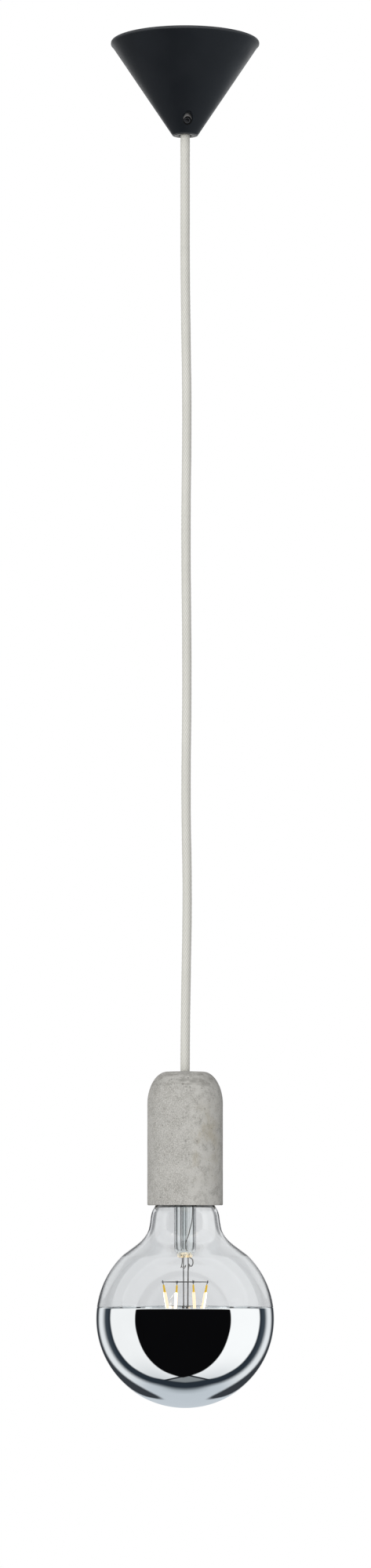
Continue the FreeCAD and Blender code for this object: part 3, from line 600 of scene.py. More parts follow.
def braided(name, points, v0, segs=60, step=0.30):
    """Braided cord: over-and-under strands are in the mesh itself."""
    line = np.array(route_line(points, name + "_route"))
    if line[0][2] < line[-1][2]:
        line = line[::-1]
    d = np.concatenate([[0], np.cumsum(np.linalg.norm(np.diff(line, axis=0), axis=1))])
    n = int(round(d[-1] / step)) + 1
    s = np.linspace(0, d[-1], n)
    path = np.stack([np.interp(s, d, line[:, i]) for i in range(3)], 1)
    tan = np.gradient(path, axis=0)
    tan /= np.linalg.norm(tan, axis=1)[:, None]
    ax = np.array([1.0, 0, 0]) - tan * tan[:, :1]
    ax /= np.linalg.norm(ax, axis=1)[:, None]
    bx = np.cross(tan, ax)
    ang = 2 * math.pi * np.arange(segs) / segs
    u = np.arange(segs) / segs * STRANDS
    v = (s + v0) / PITCH_V
    A = u[None, :] + 0.5 * v[:, None] * 1.0
    B = u[None, :] - 0.5 * v[:, None] * 1.0
    fa, fb = A - np.floor(A), B - np.floor(B)
    over = (np.floor(A) + np.floor(B)) % 2 < 0.5
    cross_a = np.sin(np.pi * fa)
    cross_b = np.sin(np.pi * fb)
    # the strand on top is round across and humps along its length
    top = np.where(over, cross_a ** 0.55 * (0.55 + 0.45 * cross_b), cross_b ** 0.55 * (0.55 + 0.45 * cross_a))
    wob = 0.02 * np.sin(s / 7.3)[:, None] + 0.015 * np.sin(s / 2.9 + 1.3)[:, None]
    rad = CORD_R - 0.19 + 0.21 * top + wob
    pts = path[:, None, :] + rad[:, :, None] * (np.cos(ang)[None, :, None] * ax[:, None, :] +
                                                 np.sin(ang)[None, :, None] * bx[:, None, :])
    verts = pts.reshape(-1, 3)
    i = np.arange(n - 1)[:, None] * segs
    k = np.arange(segs)[None, :]
    m = (k + 1) % segs
    quads = np.stack([i + k, i + segs + k, i + segs + m, i + m], 2).reshape(-1, 4)
    faces = [tuple(q) for q in quads.tolist()]
    faces.append(tuple(range(segs)))
    faces.append(tuple(range((n - 1) * segs, n * segs))[::-1])
    ob = mesh_object(name, verts, faces, M["cord_textile"], sharp=None, fix=False)
    # painted shade mask: high where the strand lies low in the braid
    attribute(ob, "painted_recess_shade", (1.0 - np.clip(top, 0, 1)).reshape(-1) ** 1.3)
    attribute(ob, "family", np.where(over, 1.0, 0.0).reshape(-1))
    uv = ob.data.uv_layers.new(name="weave")
    loops = np.zeros(len(ob.data.loops), int)
    ob.data.loops.foreach_get("vertex_index", loops)
    uu = np.tile(u, n)
    vv = np.repeat(0.5 * v, segs)
    L = np.stack([uu[loops], vv[loops]], 1)
    # keep the seam's faces continuous
    quad = L[: len(quads) * 4].reshape(-1, 4, 2)
    wide = (quad[:, :, 0].max(1) - quad[:, :, 0].min(1)) > STRANDS / 2
    quad[wide, :, 0] = np.where(quad[wide, :, 0] < STRANDS / 2, quad[wide, :, 0] + STRANDS, quad[wide, :, 0])
    L[: len(quads) * 4] = quad.reshape(-1, 2)
    uv.data.foreach_set("uv", L.astype(np.float32).reshape(-1))
    return ob, [tuple(p * MM) for p in line], float(d[-1])


CORD_TOP, CORD_SPLIT, CORD_TAIL = -17.0, -145.0, -752.0
upper_pts = [(0, 0, CORD_TOP), (0, 0, -85.0), (0, 0, CORD_SPLIT)]
lower_pts = [(0, 0, CORD_SPLIT), (0, 0, -155.0), (0.5, 0, -200.0), (1.45, 0, -262.0),
             (0.35, 0, -345.0), (1.5, 0, -445.0), (0.35, 0, -530.0), (1.75, 0, -597.0),
             (0.6, 0, -660.0), (0.0, 0, -703.0), (0.0, 0, -743.0), (0.0, 0, CORD_TAIL)]
cord_a, line_a, len_a = braided("cord_upper_braid", upper_pts, 0.0)
cord_b, line_b, len_b = braided("cord_lower_braid", lower_pts, CORD_TOP - CORD_SPLIT)
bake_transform(cord_a)
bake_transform(cord_b)
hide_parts("cord_upper")
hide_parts("cord_link", "cord_lower")

# ------------------------------------------------------------------- canopy
RIM_R, LIP, H, NOSE = 52.0, 2.2, 65.7, 8.8
slope = (RIM_R - 0.6 - NOSE) / (H - LIP)
wall = 1.2 / math.cos(math.atan(slope))


def cone_r(z):
    return NOSE + slope * (H + z)


prof = [(RIM_R - 1.4, -0.2)]
prof += arc_pts(RIM_R - 0.95, -0.95, 0.95, 0.95, 105, 0, 10)
prof += arc_pts(RIM_R - 0.6, -1.6, 0.6, 0.6, 0, -90 + math.degrees(math.atan(1 / slope)) * 0.0 - 0, 6)[:4]
z0, z1 = -LIP - 0.1, -H + 0.7
prof += [(cone_r(z0) - 0.02, z0)]
steps = 60
prof += [(cone_r(z0 + (z1 - z0) * i / steps), z0 + (z1 - z0) * i / steps) for i in range(1, steps + 1)]
prof += [(NOSE + 0.24, -H + 0.32), (NOSE + 0.02, -H + 0.1), (NOSE - 0.22, -H + 0.01), (NOSE - 0.45, -H)]
prof += [(8.0, -H), (8.0, -H + 1.6), (cone_r(-H + 1.6) - wall, -H + 1.6)]
za, zb = -H + 1.8, -LIP - 0.7
prof += [(cone_r(za + (zb - za) * i / 40) - wall, za + (zb - za) * i / 40) for i in range(41)]
prof += [(RIM_R - 1.55, -LIP + 0.2)]
v, f = lathe_arrays(prof, 256)
cone = mesh_object("canopy_shell", v, f, M["black_powder_coat"], sharp=None)
# access hole for the set screw, with a small countersink
az = math.radians(7.4)
sdir = Vector((math.sin(az), -math.cos(az), 0.0))
SZ = -57.4
rs = cone_r(SZ)
hp = [(0, 0), (3.25, 0), (3.25, 5.2), (3.75, 6.3), (5.5, 9.5), (5.5, 16), (0, 16)]
hv, hf = lathe_arrays([(r, z + rs - 6.2) for r, z in hp], 64)
rot = Vector((0, 0, 1)).rotation_difference(sdir).to_matrix()
hv = [tuple(rot @ Vector(q) + Vector((0, 0, SZ))) for q in hv]
# the cutter's points, copied unchanged
hv = [q for q in hv]
cut = mesh_object("hole_cutter", hv, hf, M["black_powder_coat"], sharp=None)
mod = cone.modifiers.new("hole", "BOOLEAN")
mod.operation = "DIFFERENCE"
mod.solver = "EXACT"
mod.object = cut
bpy.context.view_layer.update()
deps = bpy.context.evaluated_depsgraph_get()
newm = bpy.data.meshes.new_from_object(cone.evaluated_get(deps), depsgraph=deps)
cone.modifiers.clear()
cone.data = newm
bpy.data.objects.remove(cut)
newm.polygons.foreach_set("use_smooth", [True] * len(newm.polygons))
newm.set_sharp_from_angle(angle=math.radians(32))
if not newm.materials:
    newm.materials.append(M["black_powder_coat"])
co = np.array([q.co for q in newm.vertices]) / MM
rr = np.hypot(co[:, 0], co[:, 1])
# mask for the painted highlight along the rim and, weaker, the nose
edge = np.clip(1 - np.abs(co[:, 2] + 1.0) / 1.4, 0, 1) * (rr > RIM_R - 1.2)
edge = np.maximum(edge, np.clip(1 - np.abs(co[:, 2] + H) / 0.5, 0, 1) * (rr > NOSE - 1.2) * (rr < NOSE + 1.5) * 0.8)
attribute(cone, "edge", edge)
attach(cone, "canopy")
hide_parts("canopy_cone")

# ----------------------------------------------------------- concrete shell
S_TOP, S_BOT, S_R, FLAT, SH = -722.0, -815.7, 26.5, 12.5, 23.0
outer = [(4.6, S_TOP - 0.6), (4.72, S_TOP - 0.25), (5.1, S_TOP - 0.03)]
outer += [(5.1 + (FLAT - 5.1) * i / 18, S_TOP) for i in range(1, 19)]
outer += arc_pts(FLAT, S_TOP - SH, S_R - FLAT, SH, 90, 0, 78)[1:]
zs = np.linspace(S_TOP - SH, S_BOT + 0.8, 176)[1:]
outer += [(S_R, float(z)) for z in zs]
outer += arc_pts(S_R - 0.8, S_BOT + 0.8, 0.8, 0.8, 0, -90, 5)[1:]
outer += [(S_R - 0.8 - (S_R - 0.8 - 22.7) * i / 8, S_BOT) for i in range(1, 9)]
outer += arc_pts(22.8, S_BOT + 0.5, -0.5, -0.5, 90, 0, 3)[1:]
n_out = len(outer)
inner = [(22.3, S_BOT + 1.0 + i * 3.0) for i in range(21)]
inner += [(22.3, -752.0)]
inner += arc_pts(12.0, -752.0, 10.3, 18.0, 0, 90, 16)[1:]
inner += [(8.0, -734.0), (8.0, -726.0), (4.6, -726.0)]
SEG = 420
v, f = lathe_arrays(outer + inner, SEG)
V3 = np.array(v, float)
isout = np.zeros(len(V3), bool)
isout[: n_out * SEG] = True
P = V3[isout].copy()
rad = np.hypot(P[:, 0], P[:, 1])
nrm = np.stack([P[:, 0] / rad, P[:, 1] / rad, np.zeros(len(P))], 1)
sh = P[:, 2] > S_TOP - SH
ex = (rad - FLAT) / (S_R - FLAT) ** 2
ez = (P[:, 2] - (S_TOP - SH)) / SH ** 2
ln = np.hypot(ex, ez) + 1e-9
nrm[sh, 0] = (P[sh, 0] / rad[sh]) * np.clip(ex[sh] / ln[sh], 0, 1)
nrm[sh, 1] = (P[sh, 1] / rad[sh]) * np.clip(ex[sh] / ln[sh], 0, 1)
nrm[sh, 2] = np.clip(ez[sh] / ln[sh], 0, 1)
flat = P[:, 2] > S_TOP - 1e-6
nrm[flat] = (0, 0, 1)
low = P[:, 2] < S_BOT + 0.05
nrm[low] = (0, 0, -1)
amp = np.zeros(len(P))
for i in range(len(P)):
    q = Vector(P[i])
    amp[i] = 0.045 * noise.noise(q * 0.09) + 0.028 * noise.noise(q * 0.45) + 0.016 * noise.noise(q * 1.6)
amp -= 0.03
recess_shade = np.zeros(len(P))
# pores left by air bubbles: many fine ones, a few that are a millimetre wide
pores = []
for _ in range(330):
    t = rng.uniform(0, 2 * math.pi)
    z = rng.uniform(S_BOT + 1.0, S_TOP - 1.0)
    r = rng.choice([rng.uniform(0.30, 0.42), rng.uniform(0.42, 0.56), rng.uniform(0.6, 0.8)], p=[0.84, 0.14, 0.02])
    pores.append((t, z, r))
# the larger ones seen on the front: two below the cord, one low on the left
for x, z, r in ((-1.6, -731.0, 0.9), (2.2, -726.6, 0.8), (-9.5, -727.5, 0.7), (3.6, -733.2, 0.6),
                (-17.5, -810.2, 0.8), (-15.9, -760.0, 0.6), (8.5, -771.0, 0.6), (14.0, -748.5, 0.7),
                (-4.5, -786.0, 0.55), (19.0, -795.0, 0.6)):
    s = 26.5 if z < S_TOP - SH else FLAT + (S_R - FLAT) * math.sqrt(max(0, 1 - ((z - (S_TOP - SH)) / SH) ** 2))
    pores.append((math.atan2(-math.sqrt(max(0.1, s * s - x * x)), x), z, r))
ang = np.arctan2(P[:, 1], P[:, 0])
order = np.argsort(P[:, 2])
zsort = P[order, 2]
for t, z, r in pores:
    i0, i1 = np.searchsorted(zsort, z - 2 * r), np.searchsorted(zsort, z + 2 * r)
    idx = order[i0:i1]
    if len(idx) == 0:
        continue
    s = 26.5 if z < S_TOP - SH else FLAT + (S_R - FLAT) * math.sqrt(max(0, 1 - ((z - (S_TOP - SH)) / SH) ** 2))
    c = np.array([s * math.cos(t), s * math.sin(t), z])
    stretch = 0.75 + 0.5 * ((t * 7.31) % 1.0)
    dd = P[idx] - c
    dist = np.sqrt((dd[:, 0] ** 2 + dd[:, 1] ** 2) * stretch + dd[:, 2] ** 2 / stretch)
    k = np.clip(1 - (dist / r) ** 2, 0, 1)
    amp[idx] -= 0.62 * r * k ** 0.8
    # the pore mask also sets where shade is painted into the concrete
    recess_shade[idx] = np.maximum(recess_shade[idx], k)
inside = (rad < 5.2)
amp[inside] = 0
P = P + nrm * amp[:, None]
V3[isout] = P
shell = mesh_object("concrete_shell_cast", V3, f, M["concrete"], sharp=50.0)
all_recess_shade = np.zeros(len(V3))
all_recess_shade[: n_out * SEG] = recess_shade
attribute(shell, "painted_recess_shade", all_recess_shade)
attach(shell, "pendant")
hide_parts("concrete_shell")

# -------------------------------------------------------------------- globe
GZ, GR, GT = -895.2, 62.5, 0.9
neck = [(11.3, 98.0), (11.3, 94.5), (11.35, 91.5), (12.1, 89.8), (13.0, 88.4), (14.7, 86.0), (17.0, 83.2),
        (19.3, 80.9), (20.9, 79.2), (22.2, 77.1), (23.15, 75.3), (23.75, 73.2),
        (24.15, 71.0), (24.5, 68.0), (25.0, 65.2), (25.55, 62.6), (26.45, 60.4),
        (28.3, 57.3), (31.2, 54.1), (34.4, 51.5), (38.2, 48.7), (41.3, 46.4)]
ja = math.radians(45)
tail = [(GR * math.cos(ja - math.radians(k)), GR * math.sin(ja - math.radians(k))) for k in (0, 2, 4)]
curve = [tuple(q) for q in smooth_path(neck + tail, 8)]
# soften the joins between the measured points
arr = np.array(curve)
for _ in range(14):
    arr[1:-1] = 0.25 * arr[:-2] + 0.5 * arr[1:-1] + 0.25 * arr[2:]
stop = next(i for i, q in enumerate(arr) if math.hypot(q[0], q[1]) > 0 and math.atan2(q[1], q[0]) < math.radians(44.0))
arr = arr[:stop]
out = [tuple(q) for q in arr]
ME = 8.3
e0 = math.degrees(math.asin(ME / GR))
out += [(GR * math.cos(math.radians(a)), GR * math.sin(math.radians(a))) for a in np.linspace(43.2, -90, 150)]
out[-1] = (0.0, -GR)
oa = np.array(out)
tg = np.gradient(oa, axis=0)
tg /= np.linalg.norm(tg, axis=1)[:, None]
ins = []
for q, g in zip(oa, tg):
    wall_t = GT + 0.45 * min(1.0, max(0.0, (q[1] - 44.0) / 16.0))
    ins.append((max(0.0, q[0] + g[1] * wall_t), q[1] - g[0] * wall_t))
ins[-1] = (0.0, -(GR - GT))
prof = out + ins[::-1]
v, f = lathe_arrays([(r, z + GZ) for r, z in prof], 224)
globe = mesh_object("globe_glass", v, f, M["clear_glass"], sharp=None)
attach(globe, "lamp")
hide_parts("glass_globe")

# silvering on the outside of the glass, feathered to nothing at its edge
angs = np.linspace(e0, -90, 130)
mo, mi = [], []
for a in angs:
    t = 0.035 * min(1.0, (e0 - a) / 0.5)
    ca, sa = math.cos(math.radians(a)), math.sin(math.radians(a))
    mo.append(((GR + 0.004 + t) * ca, (GR + 0.004 + t) * sa))
    mi.append(((GR + 0.003) * ca, (GR + 0.003) * sa))
mo[-1] = (0.0, -(GR + 0.039))
mi[-1] = (0.0, -(GR + 0.003))
v, f = lathe_arrays([(r, z + GZ) for r, z in mo + mi[::-1]], 256)
crown = mesh_object("crown_mirror_coat", v, f, M["mirror_coat"], sharp=None)
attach(crown, "lamp")
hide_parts("crown_mirror")

# ------------------------------------------------------------- glass stem
sr = 7.65
so = [(10.25, -799.5), (10.3, -801.5), (9.9, -803.4), (8.9, -805.3), (8.05, -807.6), (7.72, -810.2)]
so = [tuple(q) for q in smooth_path(so, 5)]
so += [(sr, -812.0), (sr, -828.0), (sr, -842.0)]
so += [(7.62, -844.4), (7.35, -846.6), (6.7, -848.4), (5.5, -849.8), (3.6, -850.7), (1.8, -850.95), (0.0, -851.0)]
si = [(0.0, -849.8), (1.8, -849.75), (3.5, -849.5), (5.0, -848.8), (6.0, -847.5), (6.55, -845.8), (6.8, -843.4),
      (sr - 0.8, -841.0), (sr - 0.8, -828.0), (sr - 0.8, -812.0)]
si += [tuple(q) for q in smooth_path([(6.95, -810.0), (7.35, -807.3), (8.2, -804.9), (9.1, -802.8), (9.4, -801.0), (9.4, -799.5)], 5)]
v, f = lathe_arrays(so + si, 96)
stem = mesh_object("stem_flare", v, f, M["stem_glass"], sharp=None)
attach(stem, "lamp")
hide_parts("glass_stem")

ex = []
for r, z in ((2.0, -803.5), (2.0, -820.0), (2.0, -838.0), (2.15, -843.0), (2.5, -846.2), (1.5, -846.4), (1.3, -843.0),
             (1.25, -838.0), (1.25, -820.0), (1.25, -803.5)):
    ex.append((r, z))
v, f = lathe_arrays(ex, 48)
v = [(q[0] - 0.5, q[1], q[2]) for q in v]
exh = mesh_object("exhaust_pipe", v, f, M["stem_glass"], sharp=40.0)
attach(exh, "lamp")
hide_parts("exhaust_tube")

# lead wires, rods and the hooks where they are welded under the press
wl = smooth_path([(-3.1, 0.8, -801.0), (-2.98, 0.9, -815.0), (-3.05, 0.8, -830.0), (-3.0, 0.75, -841.5), (-2.65, 0.6, -847.3)], 10)
lw = mesh_object("lead_left", *sweep_arrays(wl, 0.30, 12), M["wire_steel"], sharp=60)
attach(lw, "lamp")
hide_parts("lead_wire_left")
wr = smooth_path([(5.1, -0.8, -801.0), (5.2, -1.0, -812.0), (5.15, -1.2, -820.0), (4.75, -1.5, -826.5), (3.5, -2.3, -832.0),
                  (2.3, -2.8, -837.0), (0.75, -3.0, -841.2), (0.35, -2.8, -843.6), (0.8, -2.1, -846.2), (1.35, -1.6, -847.4)], 8)
rw = mesh_object("lead_right", *sweep_arrays(wr, 0.34, 12), M["wire_steel"], sharp=60)
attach(rw, "lamp")
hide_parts("lead_wire_right")

STAR_Z, STAR_R, RING_Z, RING_R = -907.0, 12.0, -869.4, 16.5
parts = []
for x, r in ((-1.15, 0.40), (2.1, 0.46)):
    p = smooth_path([(x, 0, -851.1), (x * 1.02, 0, -858.0), (x * 0.97, 0, RING_Z), (x * 0.9, 0, -888.0), (x * 0.8, 0, STAR_Z)], 8)
    parts.append(sweep_arrays(p, r, 14))
# left wire: a short stub out of the press, tied to its rod by a small hook
p = smooth_path([(-2.3, 0.2, -850.9), (-2.05, 0.1, -853.0), (-2.0, 0.0, -855.0), (-2.3, -0.3, -857.2), (-2.9, -0.6, -859.6)], 8)
parts.append(sweep_arrays(p, 0.33, 12))
p = smooth_path([(-2.5, -0.6, -858.6), (-1.6, -0.9, -859.2), (-0.4, -1.0, -858.6), (0.5, -0.9, -857.6), (0.2, -0.8, -858.9),
                 (-0.6, -0.5, -859.9), (-1.1, -0.2, -860.6)], 8)
parts.append(sweep_arrays(p, 0.25, 10))
# right wire: a tight loop beside its rod
p = smooth_path([(2.1, -0.3, -851.6), (3.5, -0.7, -852.4), (4.9, -0.9, -853.4), (5.5, -0.9, -855.1), (5.35, -0.8, -857.0),
                 (4.5, -0.7, -858.3), (3.4, -0.6, -858.1), (2.85, -0.5, -857.0), (2.6, -0.3, -859.2), (2.3, 0.0, -861.5)], 8)
parts.append(sweep_arrays(p, [0.30] * 8 + [0.42] * (len(p) - 16) + [0.30] * 8, 12))
# the wires where they come out of the press, side by side
for x0, x1, y0 in ((-4.4, -2.4, 0.6), (-1.4, 0.6, -0.9), (1.2, 2.6, -1.0), (3.2, 4.8, 0.4)):
    p = smooth_path([(x0, y0, -850.3), ((x0 + x1) / 2 - 0.3, y0 - 0.2, -852.2), (x1, y0, -850.6)], 6)
    parts.append(sweep_arrays(p, 0.24, 10))
v, f = joined(parts)
rods = mesh_object("support_rods_bent", v, f, M["wire_steel"], sharp=60)
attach(rods, "lamp")
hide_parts("support_rods")


def ring_arrays(R, r, z, n=96, m=12, tilt=0.0):
    v, f = [], []
    for i in range(n):
        t = 2 * math.pi * i / n
        for k in range(m):
            w = 2 * math.pi * k / m
            q = R + r * math.cos(w)
            v.append((q * math.cos(t), q * math.sin(t), z + r * math.sin(w) + tilt * q * math.cos(t)))
    for i in range(n):
        for k in range(m):
            a, b = i * m + k, i * m + (k + 1) % m
            c, d = ((i + 1) % n) * m + (k + 1) % m, ((i + 1) % n) * m + k
            f.append((a, b, c, d))
    return v, f


ANG = [-20.0, 70.0, 160.0, 250.0]
TWIST = math.radians(-20.0)
parts = [ring_arrays(RING_R, 0.22, RING_Z)]
parts.append(sweep_arrays([(-RING_R, 0, RING_Z), (-8, 0, RING_Z + 0.1), (-1.6, 0, RING_Z)], 0.22, 10))
for d in ANG:                            # weld beads where each strip hangs
    t = math.radians(d)
    c = np.array((math.sin(t) * RING_R, -math.cos(t) * RING_R, RING_Z))
    tang = np.array((math.cos(t), math.sin(t), 0.0))
    out_w = np.array((math.sin(t), -math.cos(t), 0.0))
    for sg, up in ((1, 1.0), (-1, 1.0)):
        a = c + tang * 0.55 * sg + out_w * 0.35 + (0, 0, 0.95 * up)
        b = c - tang * 0.55 * sg + out_w * 0.1 - (0, 0, 0.95)
        parts.append(sweep_arrays([a, c + out_w * 0.2, b], [0.22, 0.34, 0.20], 10))
    parts.append(sweep_arrays([c - tang * 1.0, c, c + tang * 1.0], [0.20, 0.45, 0.20], 10))
v, f = joined(parts)
ring = mesh_object("upper_ring_wire", v, f, M["wire_steel"], sharp=60)
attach(ring, "lamp")
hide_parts("upper_ring")

fil, tabs, facing = [], [], []
for d in ANG:
    t = math.radians(d)
    p = np.array((math.sin(t) * RING_R, -math.cos(t) * RING_R, RING_Z))
    q = np.array((math.sin(t + TWIST) * STAR_R, -math.cos(t + TWIST) * STAR_R, STAR_Z))
    u = (q - p) / np.linalg.norm(q - p)
    f0, f1 = p + u * 2.0, q - u * 2.0
    L = np.linalg.norm(f1 - f0)
    path = [f0 + u * L * s for s in
            [0, 0.008, 0.02, 0.04, 0.08, 0.14, 0.155, 0.17, 0.3, 0.45, 0.6, 0.75, 0.88, 0.95, 0.975, 0.99, 1.0]]
    rr = [0.36, 0.56, 0.66, 0.72, 0.74, 0.78, 0.98, 1.14, 1.20, 1.20, 1.20, 1.20, 1.16, 1.0, 0.80, 0.60, 0.36]
    sv, sf = sweep_arrays(path, rr, 24, 0.9, up=(math.cos(t), math.sin(t), 0))
    outw = np.array((math.sin(t), -math.cos(t), 0.0))
    for k, q in enumerate(sv):
        facing.append(float(np.dot((q - path[k // 24]) / rr[k // 24], outw)) * 0.5 + 0.5)
    fil.append((sv, sf))
    tabs.append(sweep_arrays([p + u * 0.35, p + u * 1.2, f0 + u * 0.1], 0.22, 10))
    tabs.append(sweep_arrays([f1 - u * 0.1, q - u * 1.2, q - u * 0.35], 0.22, 10))
v, f = joined(fil)
strips = mesh_object("led_strips", v, f, M["phosphor"], sharp=60)
attribute(strips, "face", facing)
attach(strips, "lamp")
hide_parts("led_filaments")
v, f = joined(tabs)
tb = mesh_object("strip_tabs", v, f, M["wire_steel"], sharp=60)
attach(tb, "lamp")
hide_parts("filament_tabs")

# ------------------------------------------------------------------- studio
floor_me = bpy.data.meshes.new("studio_floor")
FZ = -2.5
ring_v = [(3.6 * math.cos(2 * math.pi * i / 96), 3.6 * math.sin(2 * math.pi * i / 96), FZ) for i in range(96)]
floor_me.from_pydata(ring_v, [], [tuple(range(96))])
floor = bpy.data.objects.new("studio_floor", floor_me)
scene.collection.objects.link(floor)
fm, ft, fp, fco = material("studio_floor")
ft.put(fp.inputs["Base Color"], varied(ft, fco, (0.80, 0.80, 0.80), 0.02, 1.5))
fp.inputs["Roughness"].default_value = 0.8
floor_me.materials.append(fm)
floor.visible_glossy = False

world = bpy.data.worlds.new("studio")
scene.world = world
world.use_nodes = True
w = Tree(world.node_tree)
wout = w.n("ShaderNodeOutputWorld")
bg = w.n("ShaderNodeBackground")
w.link(bg.outputs[0], wout.inputs["Surface"])
gen = w.n("ShaderNodeTexCoord").outputs["Generated"]
nv = w.n("ShaderNodeVectorMath", operation="NORMALIZE")
w.link(gen, nv.inputs[0])
sp = w.n("ShaderNodeSeparateXYZ")
w.link(nv.outputs[0], sp.inputs[0])
X, Y, Z = sp.outputs
RAD = 57.29578

# The studio as the mirror crown shows it: a black camera screen in front, a
# white tent round it, two dark flags and the pale room behind. Each direction
# is named by the place on a round mirror where the front of the lamp shows it,
# in units in which the mirror's outline has a radius of 113.7.
QE = (GZ * -MM + cam.location.z) / DIST
half = w.n("ShaderNodeVectorMath", operation="ADD")
w.link(nv.outputs[0], half.inputs[0])
half.inputs[1].default_value = (0.0, -math.cos(QE), math.sin(QE))
hn = w.n("ShaderNodeVectorMath", operation="NORMALIZE")
w.link(half.outputs[0], hn.inputs[0])
hs = w.n("ShaderNodeSeparateXYZ")
w.link(hn.outputs[0], hs.inputs[0])
persp = w.math("MULTIPLY_ADD", hs.outputs[1], GR * MM / DIST, 1.0)
PA = w.math("DIVIDE", w.math("MULTIPLY", hs.outputs[0], 113.7), persp)
PB = w.math("DIVIDE", w.math("MULTIPLY", w.math("MULTIPLY_ADD", hs.outputs[1], QE, hs.outputs[2]), -113.7), persp)
PBd = w.math("MAXIMUM", PB, 0.0)


def polar(shift):
    a = w.math("ADD", PA, shift)
    r = w.math("SQRT", w.math("ADD", w.math("MULTIPLY", a, a), w.math("MULTIPLY", PB, PB)))
    t = w.math("MULTIPLY", w.math("ARCTAN2", PBd, w.math("ABSOLUTE", a)), RAD)
    return r, t


R0, AZ0 = polar(0.0)
RD, AZD = polar(2.7)
r1 = w.curve(AZD, 90.0, 120.0, [(0, 61.7), (10, 62.0), (20, 62.5), (30, 63.8), (40, 65.7), (50, 67.7), (60, 69.8),
                                (70, 71.8), (80, 73.4), (90, 75.6)])
r2 = w.curve(AZ0, 90.0, 120.0, [(0, 95.7), (10, 95.3), (20, 94.9), (30, 93.6), (40, 91.8), (50, 88.9), (60, 86.0),
                                (70, 82.7), (80, 81.5), (90, 81.6)])
r3 = w.curve(AZ0, 90.0, 120.0, [(0, 104.0), (10, 103.9), (20, 103.3), (30, 102.2), (40, 100.2), (50, 97.3), (60, 94.2),
                                (70, 91.3), (80, 90.5), (90, 90.4)])
r4 = w.curve(AZ0, 90.0, 120.0, [(0, 110.0), (20, 109.9), (30, 109.0), (40, 107.0), (50, 104.8), (60, 103.6),
                                (70, 104.4), (77, 106.8), (90, 114.0)])
r5 = w.curve(AZ0, 90.0, 120.0, [(0, 113.35), (45, 113.35), (55, 112.9), (62, 111.6), (70, 108.8), (77, 106.6), (90, 100.0)])


def beyond(r, edge, half_width):
    return w.ramp(r, w.math("SUBTRACT", edge, half_width), w.math("ADD", edge, half_width))


low = w.ramp(AZ0, 28.0, 74.0)
shade = w.math("MULTIPLY", low, w.ramp(R0, 60.0, 92.0))
tent = w.mix(shade, c4(1.02, 1.03, 1.03), c4(0.62, 0.65, 0.67))
tent = w.mix(w.ramp(PA, -60.0, 20.0, 0.07, 0.0), tent, c4(0.2, 0.2, 0.2))
line = w.math("SUBTRACT", PB, w.math("MULTIPLY_ADD", w.math("ABSOLUTE", w.math("SUBTRACT", PA, 3.8)), 0.215, 72.6))
tent = w.mix(w.ramp(line, 0.9, 1.5), tent, c4(0.24, 0.26, 0.27))
tent = w.mix(w.math("MULTIPLY", w.ramp(line, -1.3, -0.7), w.ramp(line, 0.9, 1.5, 1.0, 0.0)), tent, c4(0.03, 0.034, 0.04))
flag = w.mix(w.ramp(R0, 96.0, 101.0), c4(0.022, 0.031, 0.042), c4(0.045, 0.060, 0.075))
room = w.mix(w.ramp(AZ0, 40.0, 66.0), c4(0.82, 0.85, 0.87), c4(0.56, 0.61, 0.655))
room = w.mix(w.math("MULTIPLY", w.ramp(AZ0, 60.0, 85.0), w.ramp(R0, 90.0, 98.0, 1.0, 0.0)), room, c4(0.33, 0.37, 0.40))
col = w.mix(beyond(RD, r1, 0.7), c4(0.0030, 0.0030, 0.0034), tent)
col = w.mix(beyond(R0, r2, 1.1), col, flag)
col = w.mix(beyond(R0, r3, 2.8), col, room)
wedge = w.math("MULTIPLY", beyond(R0, r4, 1.5), w.math("SUBTRACT", 1.0, beyond(R0, r5, 0.9)))
wedge = w.math("MULTIPLY", wedge, w.ramp(AZ0, 70.0, 78.0, 1.0, 0.0))
col = w.mix(wedge, col, c4(0.040, 0.046, 0.054))
col = w.mix(w.math("MULTIPLY", w.ramp(R0, 112.9, 113.5), w.ramp(AZ0, 45.0, 62.0, 1.0, 0.0)), col, c4(0.9, 0.9, 0.9))
sharp = col

# what satin surfaces see: dim below, brighter to the right, pale behind
sat = w.mix(w.ramp(X, -0.2, 0.9), c4(0.05, 0.053, 0.058), c4(0.42, 0.46, 0.50))
sat = w.mix(w.ramp(X, -0.95, -0.25, 1.0, 0.0), sat, c4(0.26, 0.27, 0.28))
sat = w.mix(w.ramp(Z, 0.0, 0.8), sat, c4(0.55, 0.56, 0.57))
sat = w.mix(w.ramp(w.math("ABSOLUTE", Y), 0.70, 1.0), sat, c4(0.95, 0.96, 0.97))

# soft light: strongest level with the lamp, in front and behind
y2 = w.math("MULTIPLY", Y, Y)
lobe = w.math("MULTIPLY", w.math("MULTIPLY", y2, y2), 2.6)
level = w.math("MULTIPLY", w.math("ADD", lobe, 1.0), w.ramp(Z, 0.0, 1.0, 0.54, 0.45))
level = w.math("MULTIPLY", level, w.ramp(X, -0.1, 0.9, 1.0, 0.55))
soft = w.mix(1.0, c4(1.0, 0.995, 0.985), level, "MULTIPLY")

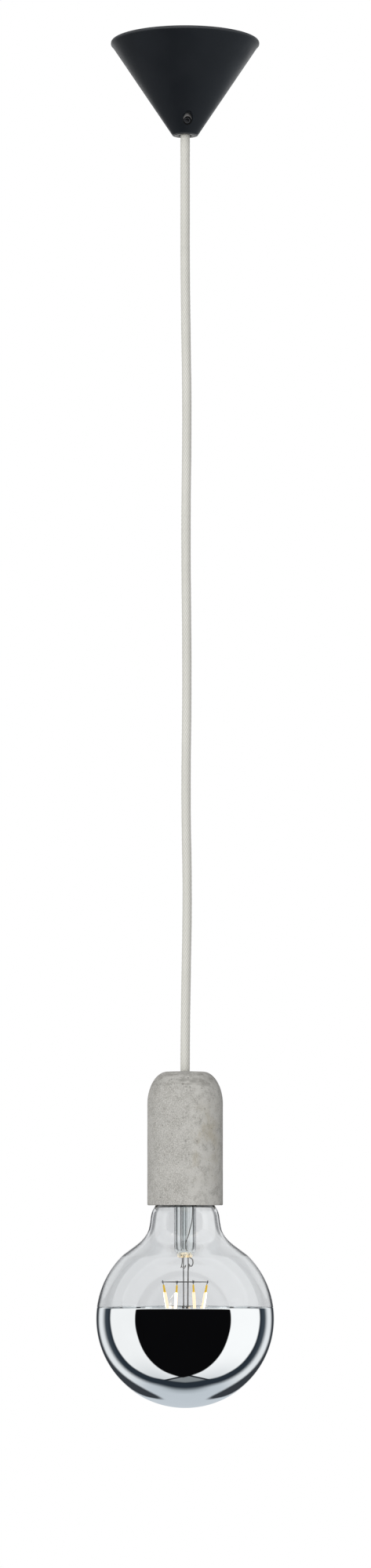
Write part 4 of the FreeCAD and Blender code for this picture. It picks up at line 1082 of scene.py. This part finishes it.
# behind the clear glass: pale paper with a dark flag at either side of it
az = w.math("MULTIPLY", w.math("ARCTAN2", w.math("ABSOLUTE", X), w.math("ABSOLUTE", Y)), RAD)
off = w.math("MINIMUM", az, w.math("SUBTRACT", 90.0, az))
flagged = w.math("MULTIPLY", w.ramp(off, 6.0, 9.5), w.ramp(off, 24.0, 30.0, 1.0, 0.0))
flagged = w.math("MULTIPLY", flagged, w.ramp(w.math("ABSOLUTE", Z), 0.09, 0.17, 1.0, 0.0))
paper = w.mix(w.ramp(X, -0.04, 0.04), c4(0.700, 0.708, 0.722), c4(0.765, 0.772, 0.785))
paper = w.mix(flagged, paper, c4(0.055, 0.055, 0.062))
ahead = w.mix(beyond(RD, r1, 3.0), c4(0.46, 0.46, 0.47), c4(1.15, 1.15, 1.16))
ahead = w.mix(beyond(R0, r2, 3.0), ahead, c4(0.60, 0.61, 0.62))
paper = w.mix(w.ramp(Y, -0.22, 0.06, 1.0, 0.0), paper, ahead)

lp = w.n("ShaderNodeLightPath")
col = w.mix(lp.outputs["Is Singular Ray"], sat, sharp)
col = w.mix(lp.outputs["Is Diffuse Ray"], col, soft)
col = w.mix(lp.outputs["Is Transmission Ray"], col, paper)
col = w.mix(lp.outputs["Is Camera Ray"], col, c4(1, 1, 1))
w.link(col, bg.inputs["Color"])
bg.inputs["Strength"].default_value = 1.0


def area(name, loc, target, size, power_w, colour=(1, 1, 1)):
    ld = bpy.data.lights.new(name, "AREA")
    ld.shape = "RECTANGLE"
    ld.size, ld.size_y = size
    ld.energy = power_w
    ld.color = colour
    ob = bpy.data.objects.new(name, ld)
    ob.location = loc
    d = Vector(target) - Vector(loc)
    ob.rotation_euler = d.to_track_quat("-Z", "Y").to_euler()
    scene.collection.objects.link(ob)
    ob.visible_glossy = False
    ob.visible_camera = False
    ob.visible_transmission = False
    return ob


area("key_left", (-2.4, -1.6, -0.35), (0, 0, -0.45), (0.7, 2.0), 13.0)
area("fill_front", (0.4, -3.4, -0.4), (0, 0, -0.5), (1.6, 2.0), 5.0)
